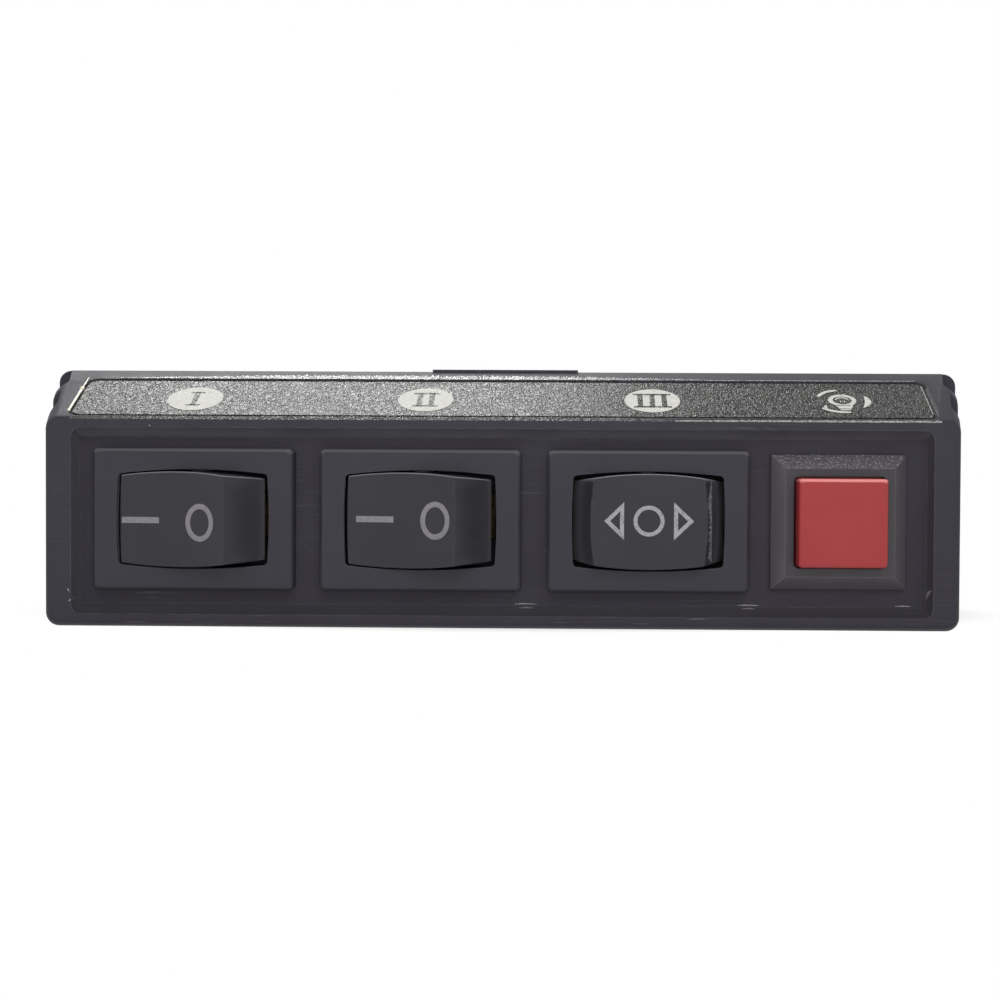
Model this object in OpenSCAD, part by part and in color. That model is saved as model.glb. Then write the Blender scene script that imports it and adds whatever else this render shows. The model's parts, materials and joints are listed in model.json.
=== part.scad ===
// Four-way switch panel: a moulded housing with a sloped label shelf, two on/off rockers,
// one three-position rocker and one momentary push button, closed by a screwed rear cover.
// Millimetres. X runs along the row of switches, Y to the back, Z up; the base stands on Z = 0.

/* [Housing] */
// Depth from the front rim to the back
body_depth = 44; // [42:1:60]
// How much wider the body is behind the grip than at the front rim, each side
body_flare = 1.95; // [1.6:0.05:2.2]
// Distance behind the rim at which the flare ends
flare_run = 12; // [11:0.5:14]
// Height of the sloped shelf above the front face
slope_rise = 5.45; // [4:0.25:8]
// Depth of the sloped shelf, front to back
slope_run = 11.1; // [10.5:0.25:14]
// Thickness of the top and bottom walls
wall = 2; // [1.6:0.1:2.4]
// Thickness of the side walls, measured at the front rim
side_wall = 1.7; // [1.5:0.1:2.3]
// Radius on the outer edges
edge_r = 0.8; // [0.4:0.1:1.2]
// Radius on the four corners of the front view
corner_r = 1.4; // [0.8:0.1:2]
// Width of the raised pad on top
pad_w = 16; // [10:1:24]
// Length of the raised pad on top
pad_l = 14; // [8:1:20]
// Height of the raised pad on top
pad_h = 0.25; // [0.2:0.05:0.4]

/* [Side grips] */
// Distance behind the rim at which the first scallop starts
grip_start = 2.7; // [2:0.1:3]
// Length of the first scallop
grip_first_l = 3.7; // [3:0.1:4]
// Flat land between the scallops
grip_land = 1; // [0.8:0.1:1.6]
// Length of the second scallop
grip_second_l = 4.4; // [3.5:0.1:4.8]
// Depth of the first scallop
grip_first_d = 0.9; // [0.5:0.1:1.1]
// Depth of the second scallop
grip_second_d = 1.5; // [1:0.1:1.5]
// Length over which each scallop curves down to its floor
grip_run = 1.2; // [0.8:0.1:1.4]
// Radius on the edges of the lands beside the scallops
grip_round = 0.25; // [0.1:0.05:0.35]
// Height at which the scallops start
grip_base = 3; // [2:0.5:6]

/* [Front recess] */
// Width of the rim at each side of the recess
rim_side = 2.75; // [2:0.25:4]
// Height of the rim above the recess
rim_top = 1; // [0.8:0.1:2]
// Height of the rim below the recess
rim_bottom = 1.35; // [1:0.05:2.5]
// Height of the recess opening
recess_h = 19.45; // [19:0.25:24]
// Slant of the recess walls above and below, measured on the face
recess_slant = 0.9; // [0.2:0.1:1.2]
// Slant of the recess walls at the sides, measured on the face
recess_side_slant = 0.25; // [0.1:0.05:0.5]
// Corner radius of the recess
recess_r = 1; // [0.5:0.1:1.5]
// How far the bezels lie behind the rim
bezel_sink = 0.1; // [0:0.05:0.5]
// Thickness of the panel that the switches snap into
panel_t = 2; // [1.5:0.1:2.5]
// How far the row of switches sits above the middle of the recess
row_rise = 0.2; // [0:0.05:0.4]
// Space left of the first bezel
left_margin = 2.2; // [1:0.1:4]
// Space right of the button bezel
right_margin = 2.6; // [1:0.1:4]
// Gap between neighbouring rocker bezels
bezel_gap = 2.75; // [2:0.25:5]
// Gap between the last rocker bezel and the button bezel
button_gap = 2.3; // [1.5:0.1:5]

/* [Label] */
// Distance from the slope's front edge to the label
label_start = 0.95; // [0.8:0.05:1.5]
// Width of the label, up the slope
label_w = 8.8; // [7:0.1:9.5]
// Space between each end of the label and the end of the front face
label_inset = 2.4; // [2:0.1:6]
// Thickness of the label
label_t = 0.35; // [0.15:0.05:0.4]
// Depth of the label's recess
label_recess_d = 0.4; // [0.3:0.05:0.6]
// Gap all round the label
label_gap = 0.4; // [0.2:0.05:0.5]
// Corner radius of the label
label_r = 1; // [0.5:0.1:1.5]

/* [Rocker switch] */
// Length of the rocker bezel
bezel_l = 21; // [20.6:0.1:23]
// Height of the rocker bezel
bezel_h = 14.8; // [14.4:0.1:16]
// Thickness of the bezel flange
flange_t = 2.2; // [2:0.1:2.6]
// Bevel round the front of the bezel
bezel_bevel = 0.3; // [0.1:0.05:0.5]
// Corner radius of the bezel
bezel_r = 0.6; // [0.5:0.1:1.5]
// How far the bezel reaches past the case at each end
bezel_lap_l = 1; // [0.8:0.1:1.3]
// How far the bezel reaches past the case above and below
bezel_lap_h = 0.95; // [0.8:0.05:1.2]
// Thickness of the case's end walls
case_wall = 0.9; // [0.7:0.05:0.95]
// Thickness of the case's long walls
case_side_wall = 0.95; // [0.8:0.05:1]
// Thickness of the case's floor
case_floor = 1.6; // [1.2:0.1:1.7]
// Gap between the end of the window and the tilted rocker
window_gap_l = 0.19; // [0.15:0.01:0.3]
// Gap between the long edges of the window and the rocker
window_gap_h = 0.22; // [0.18:0.02:0.4]
// Outward bow of the window's long edges
window_bow = 0.5; // [0.3:0.05:0.6]
// Outward bow of the window's short edges
window_end_bow = 0.2; // [0.1:0.05:0.25]
// Corner radius of the window
window_r = 0.4; // [0.2:0.05:0.5]
// Thickness of the lip round the window
window_lip = 0.9; // [0.6:0.05:1]
// Width of the snap wings
wing_w = 6; // [4:0.5:8]
// How far each wing stands out from the case
wing_out = 0.85; // [0.6:0.05:1]
// Gap between a wing's tip and the case
wing_slit = 0.3; // [0.2:0.05:0.4]
// Length of each wing
wing_l = 6.6; // [5:0.2:8]
// Clearance of a case in its cut-out, each side
cutout_gap = 0.1; // [0.05:0.05:0.2]

/* [Rocker cap] */
// Depth of the pivot behind the front of the bezel
pivot_d = 4.5; // [4.4:0.05:4.6]
// Tilt of an on/off rocker each way from the middle
tilt = 17; // [10:0.5:17]
// Height of the ridges in front of the pivot
face_front = 6.4; // [6:0.05:6.5]
// Dish of the face
face_dish = 0.7; // [0.3:0.05:0.9]
// How far a flank leans out from its ridge to its foot
flank_run = 2.03; // [1.8:0.01:2.4]
// Gap between the foot of a flank and the end of the case, where they pass
flank_gap = 0.235; // [0.2:0.005:0.4]
// Height of the flank's foot in front of the pivot
flank_foot = 2.24; // [2:0.02:2.5]
// Height of the skirt's lower edge in front of the pivot
skirt_foot = 0.8; // [0.5:0.05:1]
// Gap between the cap and the long walls of the case
cap_gap_h = 0.525; // [0.45:0.025:0.7]
// How much less the cap's half height is near its ends
cap_bow = 0.8; // [0.7:0.05:1]
// The same bow on the three-position cap
centre_cap_bow = 1; // [0.8:0.05:1.1]
// Radius of the bow along the end ridges of an on/off cap
end_bow_r = 75; // [50:5:100]
// The same radius on the three-position cap
centre_end_bow_r = 30; // [24:1:60]
// How far the end bow cuts into a flank at its middle
end_bow_cut = 0.03; // [0.02:0.01:0.05]
// Wall of the cap
cap_wall = 1.2; // [1:0.1:1.4]
// Radius of the pivot stubs
pivot_r = 1; // [0.8:0.05:1.2]
// Running clearance of the pivot stubs
pivot_gap = 0.05; // [0.03:0.01:0.08]
// Radius on the ridges of the face
ridge_r = 0.35; // [0.2:0.05:0.5]
// Radius of the ears that carry the pivot stubs
ear_r = 2.1; // [1.8:0.1:2.3]
// How far an ear stands inside the wall of the cap
ear_step = 0.2; // [0.1:0.05:0.3]
// How far an ear stays below the outside of that wall
ear_sink = 0.15; // [0.12:0.01:0.3]
// How far a pivot stub reaches into the wall of the case
stub_bite = 0.65; // [0.5:0.05:0.75]

/* [Rocker works] */
// Length of the post behind the pivot
post_l = 4.5; // [4:0.1:4.6]
// Radius of the post
post_r = 2; // [1.9:0.05:2.1]
// Radius of the post's bore
post_bore_r = 1.25; // [1.2:0.05:1.35]
// Depth of the post's bore
post_bore_d = 8; // [7:0.25:8.2]
// Length of the plunger
plunger_l = 4.6; // [4.2:0.1:5]
// Radius of the plunger
plunger_r = 1.1; // [1:0.05:1.15]
// Reach of the plunger's tip behind the pivot
plunger_reach = 6; // [5.8:0.05:6.1]
// Radius of the plunger spring's wire
plunger_wire_r = 0.14; // [0.1:0.01:0.16]
// Gap between the plunger's tip and the contact blade, rocker in the middle
blade_gap = 0.12; // [0.08:0.01:0.2]
// Thickness of the contact blade
blade_t = 0.4; // [0.3:0.05:0.5]
// Width of the contact blade
blade_w = 3.6; // [3:0.1:3.8]
// Radius of the rib that the blade rocks on
blade_rib_r = 0.35; // [0.25:0.05:0.38]
// Distance from an outer terminal back to the contact rivets
rivet_inset = 1.2; // [1.1:0.05:1.5]
// Radius of the rivets
rivet_r = 1; // [0.8:0.05:1.2]
// Height of the blade's rivet
rivet_h = 0.5; // [0.4:0.05:0.6]
// Height of the fixed rivet
fixed_rivet_h = 0.42; // [0.3:0.02:0.6]
// Tilt of the blade each way when a rocker is pressed
blade_tilt = 7; // [5:0.5:7]
// Free gap left at the rivets and at the blade's saddle
contact_gap = 0.06; // [0.04:0.01:0.1]

/* [Terminals] */
// Thickness of a terminal
tab_t = 0.8; // [0.6:0.05:0.9]
// Width of a terminal
tab_w = 4.8; // [4.4:0.1:5]
// Length of a terminal behind the case
tab_l = 7.5; // [6:0.5:9]
// Radius of the hole in a terminal
tab_hole_r = 0.7; // [0.5:0.05:0.9]
// Radius of the hole in a button terminal
button_hole_r = 0.55; // [0.4:0.05:0.7]
// Gap between an outer terminal and the end wall of the case
tab_end_gap = 1.4; // [1:0.1:1.8]

/* [Push button] */
// Width of the button's bezel
button_bezel = 14.1; // [13.9:0.1:15]
// Width of the bevel round the flat front of the bezel
button_bevel_w = 1.4; // [1:0.1:1.6]
// Height of the bevel
button_bevel_h = 1.4; // [0.8:0.1:1.6]
// Width of the ledge that holds the cap's flange in
cap_ledge = 0.65; // [0.5:0.05:0.8]
// Thickness of the front of the red cap
button_cap_t = 2.6; // [2:0.1:3]
// Corner radius of the red cap
button_cap_r = 0.45; // [0.3:0.05:0.8]
// How far the cap stands out of its bezel
button_proud = 2.4; // [2.2:0.1:3]
// Travel of the button
button_travel = 1.8; // [1.2:0.1:2]
// Clearance of the cap in its bezel, each side
button_gap_side = 0.15; // [0.1:0.05:0.2]
// How far the bezel reaches past the button's case
button_lap = 1.05; // [0.8:0.05:1.2]
// Depth of the button's case behind its flange
button_case_d = 10.3; // [10:0.1:12]
// Wall of the button's case
button_wall = 0.6; // [0.5:0.05:0.7]
// Thickness of the front wall that holds the cap in
button_front_t = 2.5; // [2.3:0.1:2.8]
// Thickness of the cap's retaining flange
cap_flange_t = 1; // [0.8:0.1:1.2]
// Radius of the button's stem
stem_r = 1.5; // [1.3:0.1:1.7]
// How much smaller the radius of the stem's neck is
neck_step = 0.5; // [0.4:0.05:0.6]
// Gap between the stem's head and a terminal's pad
pad_gap = 0.4; // [0.3:0.05:0.5]
// Depth of the base block that fills the back of the case
base_block_d = 3.5; // [3:0.1:3.8]
// Thickness of the shelf that guides the stem
shelf_t = 1; // [0.8:0.1:1.2]
// Thickness of the base's closing flange
base_flange_t = 1.5; // [1.2:0.1:2]
// Radius of the return spring's coil
spring_r = 2.9; // [2.5:0.1:3.2]
// Radius of the return spring's wire
spring_wire_r = 0.22; // [0.15:0.01:0.3]
// Thickness of the contact bridge
bridge_t = 0.3; // [0.2:0.05:0.4]
// Gap between the end of the bridge and the wall of the case
bridge_gap = 1.2; // [1:0.1:1.4]
// Distance from the end of the bridge back to a button terminal
button_tab_inset = 1; // [0.8:0.1:1.2]
// Width of a button terminal
button_tab_w = 2.8; // [2.4:0.1:3.2]
// Thickness of a button terminal
button_tab_t = 0.5; // [0.4:0.05:0.6]
// Length of a button terminal behind its base
button_tab_l = 6; // [5:0.5:8]

/* [Rear cover] */
// Thickness of the rear cover
cover_t = 2; // [1.6:0.1:2.4]
// Width of the ledge that the cover stands in
cover_ledge = 1.3; // [1:0.1:1.5]
// Clearance round the cover
cover_gap = 0.15; // [0.1:0.05:0.25]
// Height of the locating rib inside the cover
cover_rib_h = 1.6; // [1:0.2:2.4]
// Thickness of the locating rib
cover_rib_t = 1.2; // [0.8:0.1:1.6]
// Radius of the screw bosses
boss_r = 2.8; // [2.6:0.1:3.2]
// How far a boss reaches into the walls beside it
boss_bite = 0.4; // [0.3:0.1:0.6]
// Length of the screw bosses
boss_l = 12; // [11:1:16]
// Radius of a screw's shank
screw_r = 1.1; // [1:0.05:1.3]
// Clearance round a screw's shank in its boss
thread_gap = 0.05; // [0.02:0.01:0.1]
// Length of a screw's shank
screw_l = 9.5; // [8:0.5:10.5]
// Radius of a screw's head
head_r = 2.1; // [1.9:0.1:2.3]
// Height of a screw's head
head_h = 1.5; // [1.2:0.1:1.8]
// Length of each slot of the cross in a screw's head
cross_l = 2.5; // [2:0.1:3]
// Width of each slot of the cross
cross_w = 0.5; // [0.4:0.05:0.6]
// Depth of the cross
cross_d = 0.8; // [0.5:0.1:1]
// Depth of the seat for a screw's head
seat_d = 0.9; // [0.6:0.1:1]
// Radius of the grommet's bore
cable_r = 2.75; // [2:0.25:3.5]
// Wall of the grommet's neck
grommet_wall = 1.7; // [1.2:0.1:2]
// How far the grommet's flanges stand past its neck
grommet_flange = 1.4; // [1:0.1:2]
// Thickness of each grommet flange
grommet_flange_t = 1.3; // [1:0.1:1.8]
// Bevel on the rim of each grommet flange
grommet_bevel = 0.5; // [0.3:0.1:0.8]
// Height of the cable entry above the base
entry_z = 13; // [11:0.5:15]

/* [Hidden] */
$fn = 48;
eps = 0.01;

// Layout of the row of switches, from the left wall of the recess
recess_w = left_margin + 3 * bezel_l + 2 * bezel_gap + button_gap + button_bezel + right_margin;
front_w = recess_w + 2 * rim_side;
first_x = -recess_w / 2 + left_margin + bezel_l / 2;
function switch_x(i) = first_x + (i - 1) * (bezel_l + bezel_gap);
button_x = recess_w / 2 - right_margin - button_bezel / 2;
row_z = rim_bottom + recess_h / 2 + row_rise;
front_y = -body_depth / 2;
back_y = body_depth / 2;
face_h = rim_bottom + recess_h + rim_top;
top_z = face_h + slope_rise;
slope_angle = atan2(slope_rise, slope_run);
body_w = width_at(flare_run);
function width_at(d) = front_w + 2 * body_flare * min(1, d / flare_run);
function height_at(d) = face_h + slope_rise * min(1, d / slope_run);
flare_angle = atan2(body_flare, flare_run);
recess_d = flange_t + bezel_sink;
cavity_w = front_w - 2 * side_wall;

// Case and cap of a rocker switch
case_l = bezel_l - 2 * bezel_lap_l;
case_h = bezel_h - 2 * bezel_lap_h;
case_inner_l = case_l - 2 * case_wall;
case_inner_h = case_h - 2 * case_side_wall;
cap_h = case_inner_h - 2 * cap_gap_h;
window_h = cap_h + 2 * window_gap_h;
foot_reach = case_inner_l / 2 - flank_gap;
flank_half = sqrt(foot_reach * foot_reach - flank_foot * flank_foot);
face_half = flank_half - flank_run;
function tilted(x, y) = [x * cos(tilt) + y * sin(tilt), y * cos(tilt) - x * sin(tilt)];
low_ridge = tilted(-face_half, -face_front);
low_foot = tilted(-flank_half, -flank_foot);
flank_at_lip = low_ridge[0] + (low_foot[0] - low_ridge[0]) * (window_lip - pivot_d - low_ridge[1])
    / (low_foot[1] - low_ridge[1]);
window_l = 2 * (window_gap_l - flank_at_lip);

// Works of a rocker switch, measured behind the front of its bezel
tab_pitch = case_inner_l / 2 - tab_end_gap - tab_t / 2;
rivet_x = tab_pitch - rivet_inset;
blade_front = pivot_d + plunger_reach + blade_gap;
blade_back = blade_front + blade_t;
rivet_drop = (rivet_x + rivet_r) * sin(blade_tilt) + rivet_h * cos(blade_tilt);
fixed_rivet_y = blade_back + rivet_drop + contact_gap;
outer_shelf_y = fixed_rivet_y + fixed_rivet_h;
floor_y = outer_shelf_y + tab_t;
case_back = floor_y + case_floor;

// Works of the push button, measured behind the front of its bezel
button_case = button_bezel - 2 * button_lap;
button_flat = button_bezel - 2 * button_bevel_w;
button_inner = button_case - 2 * button_wall;
button_hole = button_inner - 2 * cap_ledge;
button_cap = button_hole - 2 * button_gap_side;
bridge_half = button_inner / 2 - bridge_gap;
button_tab_x = bridge_half - button_tab_inset;
cap_back = button_front_t + contact_gap + cap_flange_t;
button_back = flange_t + button_case_d;
shelf_front = button_back - base_block_d;
base_back = button_back + base_flange_t;
bridge_front = shelf_front + shelf_t + contact_gap;
pad_front = bridge_front + bridge_t + button_travel + contact_gap;
base_wall_y = pad_front + button_tab_t;

// Rear cover and its screws
cover_front = back_y - cover_t;
boss_x = cavity_w / 2 - boss_r + boss_bite;
boss_low_z = wall + boss_r - boss_bite;
boss_high_z = top_z - wall - boss_r + boss_bite;
grommet_neck_r = cable_r + grommet_wall;

plastic = [0.21, 0.2, 0.22];
brass = [0.8, 0.66, 0.35];
steel = [0.75, 0.76, 0.78];

// A box on the XZ plane, centred there, from y0 to y1
module slab(w, h, y0, y1) {
    translate([-w / 2, y0, -h / 2]) cube([w, y1 - y0, h]);
}

// A flat shape drawn in X and Z, extruded from y0 to y1
module along_y(y0, y1) {
    translate([0, y1, 0]) rotate([90, 0, 0]) linear_extrude(y1 - y0) children();
}

// A flat shape drawn in Y and Z, extruded along X about the middle
module along_x(w) {
    rotate([90, 0, 90]) linear_extrude(w, center = true) children();
}

// Round the outward corners of a flat shape
module rounded(r) {
    offset(r = r, $fn = 24) offset(delta = -r) children();
}

module rounded_plate(w, h, r) {
    rounded(r) square([w, h], center = true);
}

// A rectangle whose edges along X bow out, h high at the middle and less by bow at the ends
module bowed(l, h, bow) {
    r = (l * l / 4 + bow * bow) / (2 * bow);
    intersection() {
        translate([0, h / 2 - r]) circle(r = r, $fn = 360);
        translate([0, r - h / 2]) circle(r = r, $fn = 360);
        square([l, 2 * h], center = true);
    }
}

// A rectangle with all four edges bowed out
module barrel(l, h, bow, end_bow, r) {
    rounded(r) intersection() {
        bowed(l, h, bow);
        rotate(90) bowed(h, l, end_bow);
    }
}

// Places what follows on the front of a rocker switch's bezel
module at_switch(i) {
    translate([switch_x(i), front_y + bezel_sink, row_z]) children();
}

module at_button() {
    translate([button_x, front_y + bezel_sink, row_z]) children();
}

// Places what follows on the slope, s up from its front edge
module on_slope(s) {
    translate([0, front_y, face_h]) rotate([slope_angle, 0, 0]) translate([0, s, 0]) children();
}

// A closed tube bent into a spring about the Y axis, from y0 to y1
module coil(r, wire_r, y0, y1, turns, per_turn = 12, sides = 6) {
    rings = turns * per_turn;
    rise = y1 - y0 - 2 * wire_r;
    points = [for (i = [0 : rings]) let (a = 360 * i / per_turn, y = y0 + wire_r + rise * i / rings)
        for (j = [0 : sides - 1]) let (b = 360 * j / sides, q = r + wire_r * cos(b))
            [q * cos(a), y + wire_r * sin(b), q * sin(a)]];
    walls = [for (i = [0 : rings - 1]) for (j = [0 : sides - 1]) let (k = (j + 1) % sides)
        [i * sides + j, (i + 1) * sides + j, (i + 1) * sides + k, i * sides + k]];
    first = [for (j = [0 : sides - 1]) j];
    last = [for (j = [sides - 1 : -1 : 0]) rings * sides + j];
    polyhedron(points, concat(walls, [first, last]));
}

// A length of the housing, from d0 to d1 behind the rim, with round corners
module length_of_body(d0, d1, w, low, high, r) {
    along_y(front_y + d0, front_y + d1) translate([0, (low + high) / 2]) rounded_plate(w, high - low, r);
}

// Outer form of the housing: flared behind the rim, sloped above the face, all edges round
module outer_form() {
    middle = body_depth / 2;
    edge_low = face_h - edge_r * tan((90 - slope_angle) / 2);
    hull() {
        for (a = [0 : 22.5 : 90]) {
            d = edge_r * (1 - cos(a));
            inset = edge_r * (1 - sin(a));
            r = max(corner_r - inset, eps);
            length_of_body(d, middle, width_at(d) - 2 * inset, inset,
                min(edge_low + edge_r * sin(a), height_at(d)), r);
            length_of_body(middle, body_depth - d, body_w - 2 * inset, inset, top_z - inset, r);
        }
        length_of_body(slope_run, middle, width_at(slope_run), 0, top_z, corner_r);
        length_of_body(flare_run, middle, body_w, 0, height_at(flare_run), corner_r);
    }
}

// Plan of one scallop below a face along Y: it curves down to a flat floor and ends in a step
module scallop(start, length, depth) {
    translate([0, start + grip_run]) {
        scale([depth, grip_run]) circle(r = 1, $fn = 32);
        translate([-depth, 0]) square([2 * depth, length - grip_run]);
    }
}

// Two scallops in each side, cut from their base up through the slope
module side_grips() {
    second = grip_start + grip_first_l + grip_land;
    for (side = [0, 1])
        mirror([side, 0, 0]) translate([front_w / 2, front_y, grip_base]) rotate(-flare_angle)
            linear_extrude(top_z) offset(r = -grip_round, $fn = 24) offset(delta = grip_round) {
                translate([eps, -1]) square([2, second + grip_second_l + 2]);
                scallop(grip_start, grip_first_l, grip_first_d);
                scallop(second, grip_second_l, grip_second_d);
            }
}

module front_housing() {
    color(plastic) difference() {
        union() {
            outer_form();
            translate([-pad_w / 2, front_y + slope_run, top_z - 1]) cube([pad_w, pad_l, 1 + pad_h]);
        }
        front_recess();
        housing_cavity();
        for (i = [1 : 3]) at_switch(i)
            slab(case_l + 2 * cutout_gap, case_h + 2 * cutout_gap, flange_t - 1, flange_t + panel_t + 1);
        at_button() slab(button_case + 2 * cutout_gap, button_case + 2 * cutout_gap,
            flange_t - 1, flange_t + panel_t + 1);
        on_slope(label_start + label_w / 2) translate([0, 0, -label_recess_d])
            linear_extrude(2) rounded_plate(front_w - 2 * label_inset + 2 * label_gap,
                label_w + 2 * label_gap, label_r + label_gap);
        side_grips();
    }
}

// The recess in the front, with slanted walls
module front_recess() {
    y1 = front_y + recess_d;
    low = rim_bottom;
    high = rim_bottom + recess_h;
    side = recess_w / 2;
    intersection() {
        along_x(recess_w) polygon([[front_y - eps, low], [y1, low + recess_slant],
            [y1, high - recess_slant], [front_y - eps, high]]);
        linear_extrude(face_h) polygon([[-side, front_y - eps], [side, front_y - eps],
            [side - recess_side_slant, y1], [recess_side_slant - side, y1]]);
        along_y(front_y - 1, y1) translate([0, (low + high) / 2])
            rounded_plate(recess_w, recess_h, recess_r);
    }
}

// The space behind the panel, less the screw bosses, and the ledge for the rear cover
module housing_cavity() {
    y0 = front_y + recess_d + panel_t;
    difference() {
        along_x(cavity_w) polygon([[y0, wall], [y0, cavity_front_h(y0)],
            [front_y + slope_run + wall / 2, top_z - wall], [back_y + 1, top_z - wall], [back_y + 1, wall]]);
        boss_rods(boss_r, cover_front - boss_l, cover_front);
    }
    boss_rods(screw_r + thread_gap, cover_front - screw_l, back_y);
    translate([0, 0, top_z / 2])
        slab(cavity_w + 2 * cover_ledge, top_z - 2 * wall + 2 * cover_ledge, cover_front, back_y + 1);
}

// Height of the cavity's ceiling where it meets the back of the panel
function cavity_front_h(y) = face_h + (y - front_y) * tan(slope_angle) - wall / cos(slope_angle)
    - label_recess_d;

// Four rods on the axes of the cover screws
module boss_rods(r, y0, y1) {
    for (x = [-boss_x, boss_x], z = [boss_low_z, boss_high_z])
        translate([x, y0, z]) rotate([-90, 0, 0]) cylinder(r = r, h = y1 - y0);
}

module rear_cover() {
    outer_w = cavity_w + 2 * cover_ledge - 2 * cover_gap;
    outer_h = top_z - 2 * wall + 2 * cover_ledge - 2 * cover_gap;
    rib_w = cavity_w - 2 * cover_gap;
    rib_h = top_z - 2 * wall - 2 * cover_gap;
    color(plastic) difference() {
        translate([0, 0, top_z / 2]) union() {
            slab(outer_w, outer_h, cover_front, back_y);
            difference() {
                slab(rib_w, rib_h, cover_front - cover_rib_h, cover_front + eps);
                slab(rib_w - 2 * cover_rib_t, rib_h - 2 * cover_rib_t,
                    cover_front - cover_rib_h - 1, cover_front);
            }
        }
        boss_rods(boss_r + 2 * cover_gap, cover_front - cover_rib_h - 1, cover_front);
        boss_rods(screw_r + cover_gap, cover_front - 1, back_y + 1);
        boss_rods(head_r + cover_gap, back_y - seat_d, back_y + 1);
        translate([0, cover_front - 1, entry_z]) rotate([-90, 0, 0])
            cylinder(r = grommet_neck_r, h = cover_t + 2);
    }
}

// Four self-tapping screws with domed heads and a cross in each
module cover_screws() {
    seat_y = back_y - seat_d;
    dome_r = (head_r * head_r + head_h * head_h) / (2 * head_h) + head_h / 2;
    color(steel) for (x = [-boss_x, boss_x], z = [boss_low_z, boss_high_z])
        translate([x, seat_y, z]) difference() {
            union() {
                rotate([90, 0, 0]) cylinder(r = screw_r, h = screw_l);
                intersection() {
                    rotate([-90, 0, 0]) cylinder(r = head_r, h = head_h);
                    translate([0, head_h - dome_r, 0]) sphere(r = dome_r);
                }
            }
            for (a = [0, 90]) rotate([0, a, 0])
                slab(cross_l, cross_w, head_h - cross_d, head_h + 1);
        }
}

// Rubber ring in the rear cover; the cable passes through its bore
module cable_grommet() {
    flange_r = grommet_neck_r + grommet_flange;
    groove_r = grommet_neck_r - contact_gap;
    half = cover_t / 2;
    end = half + grommet_flange_t;
    color([0.12, 0.12, 0.12]) translate([0, cover_front + half, entry_z]) rotate([-90, 0, 0])
        rotate_extrude() polygon([[cable_r, -end], [flange_r - grommet_bevel, -end], [flange_r, grommet_bevel - end],
            [flange_r, -half], [groove_r, -half], [groove_r, half], [flange_r, half],
            [flange_r, end - grommet_bevel], [flange_r - grommet_bevel, end], [cable_r, end]]);
}

module label_strip() {
    color([0.34, 0.34, 0.33]) on_slope(label_start + label_w / 2) translate([0, 0, -label_recess_d])
        linear_extrude(label_t) rounded_plate(front_w - 2 * label_inset, label_w, label_r);
}

// Spring wings that hold a case behind the panel, one at each end
module snap_wings(l) {
    tip_y = flange_t + panel_t + cutout_gap;
    root = l / 2 - cutout_gap;
    for (side = [0, 1]) mirror([side, 0, 0]) linear_extrude(wing_w, center = true)
        polygon([[root, tip_y + wing_l], [l / 2 + wing_out, tip_y], [l / 2 + wing_slit, tip_y],
            [root, tip_y + wing_l / 2]]);
}

// Slots in a floor for terminals at the given places along X
module terminal_slots(places, thickness, width, y0, y1) {
    for (x = places) translate([x, 0, 0]) slab(thickness + 2 * contact_gap, width + 2 * contact_gap, y0, y1);
}

// One moulding: bezel, case, floor and snap wings of a rocker switch
module rocker_case(i, places) {
    color(plastic) at_switch(i) difference() {
        union() {
            hull() {
                along_y(bezel_bevel, flange_t) rounded_plate(bezel_l, bezel_h, bezel_r);
                along_y(0, bezel_bevel) rounded_plate(bezel_l - 2 * bezel_bevel,
                    bezel_h - 2 * bezel_bevel, bezel_r);
            }
            slab(case_l, case_h, flange_t - eps, case_back);
            snap_wings(case_l);
        }
        along_y(-1, window_lip + eps) barrel(window_l, window_h, window_bow, window_end_bow, window_r);
        slab(case_inner_l, case_inner_h, window_lip, floor_y);
        translate([0, pivot_d, 0]) cylinder(r = pivot_r + pivot_gap, h = case_h + 2, center = true);
        terminal_slots(places, tab_t, tab_w, floor_y - 1, case_back + 1);
    }
}

// Plan of a rocker cap about its pivot: dished face, sloping flanks, short skirt
module cap_plan() {
    dish_r = (face_half * face_half + face_dish * face_dish) / (2 * face_dish);
    rounded(ridge_r) difference() {
        polygon([[-face_half, -face_front], [face_half, -face_front], [flank_half, -flank_foot],
            [flank_half, -skirt_foot], [-flank_half, -skirt_foot], [-flank_half, -flank_foot]]);
        translate([0, face_dish - face_front - dish_r]) circle(r = dish_r, $fn = 240);
    }
}

// The cap's outside, with bowed long sides and bowed ends
module plain_cap(bow, end_r) {
    intersection() {
        linear_extrude(cap_h, center = true) cap_plan();
        along_y(-face_front - 1, 0) bowed(2 * flank_half + 1, cap_h, bow);
        end_bow(0, end_r);
        end_bow(1, end_r);
    }
}

// A large cylinder whose side runs down a flank, so that the flank and its ridge bow
module end_bow(side, r) {
    flank_lean = atan2(flank_half - face_half, face_front - flank_foot);
    mirror([side, 0, 0]) translate([face_half, -face_front, 0]) rotate([0, 0, -flank_lean])
        translate([-r - end_bow_cut, 0, 0]) rotate([90, 0, 0])
            cylinder(r = r, h = 4 * face_front, center = true, $fn = 360);
}

// The hollow under a cap, open behind
module cap_pocket(bow) {
    half = flank_half - cap_wall;
    intersection() {
        linear_extrude(cap_h, center = true) union() {
            offset(delta = -cap_wall) cap_plan();
            translate([-half, -flank_foot]) square([2 * half, flank_foot]);
        }
        along_y(-face_front, 1) bowed(2 * flank_half + 1, cap_h - 2 * cap_wall, bow);
    }
}

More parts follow.
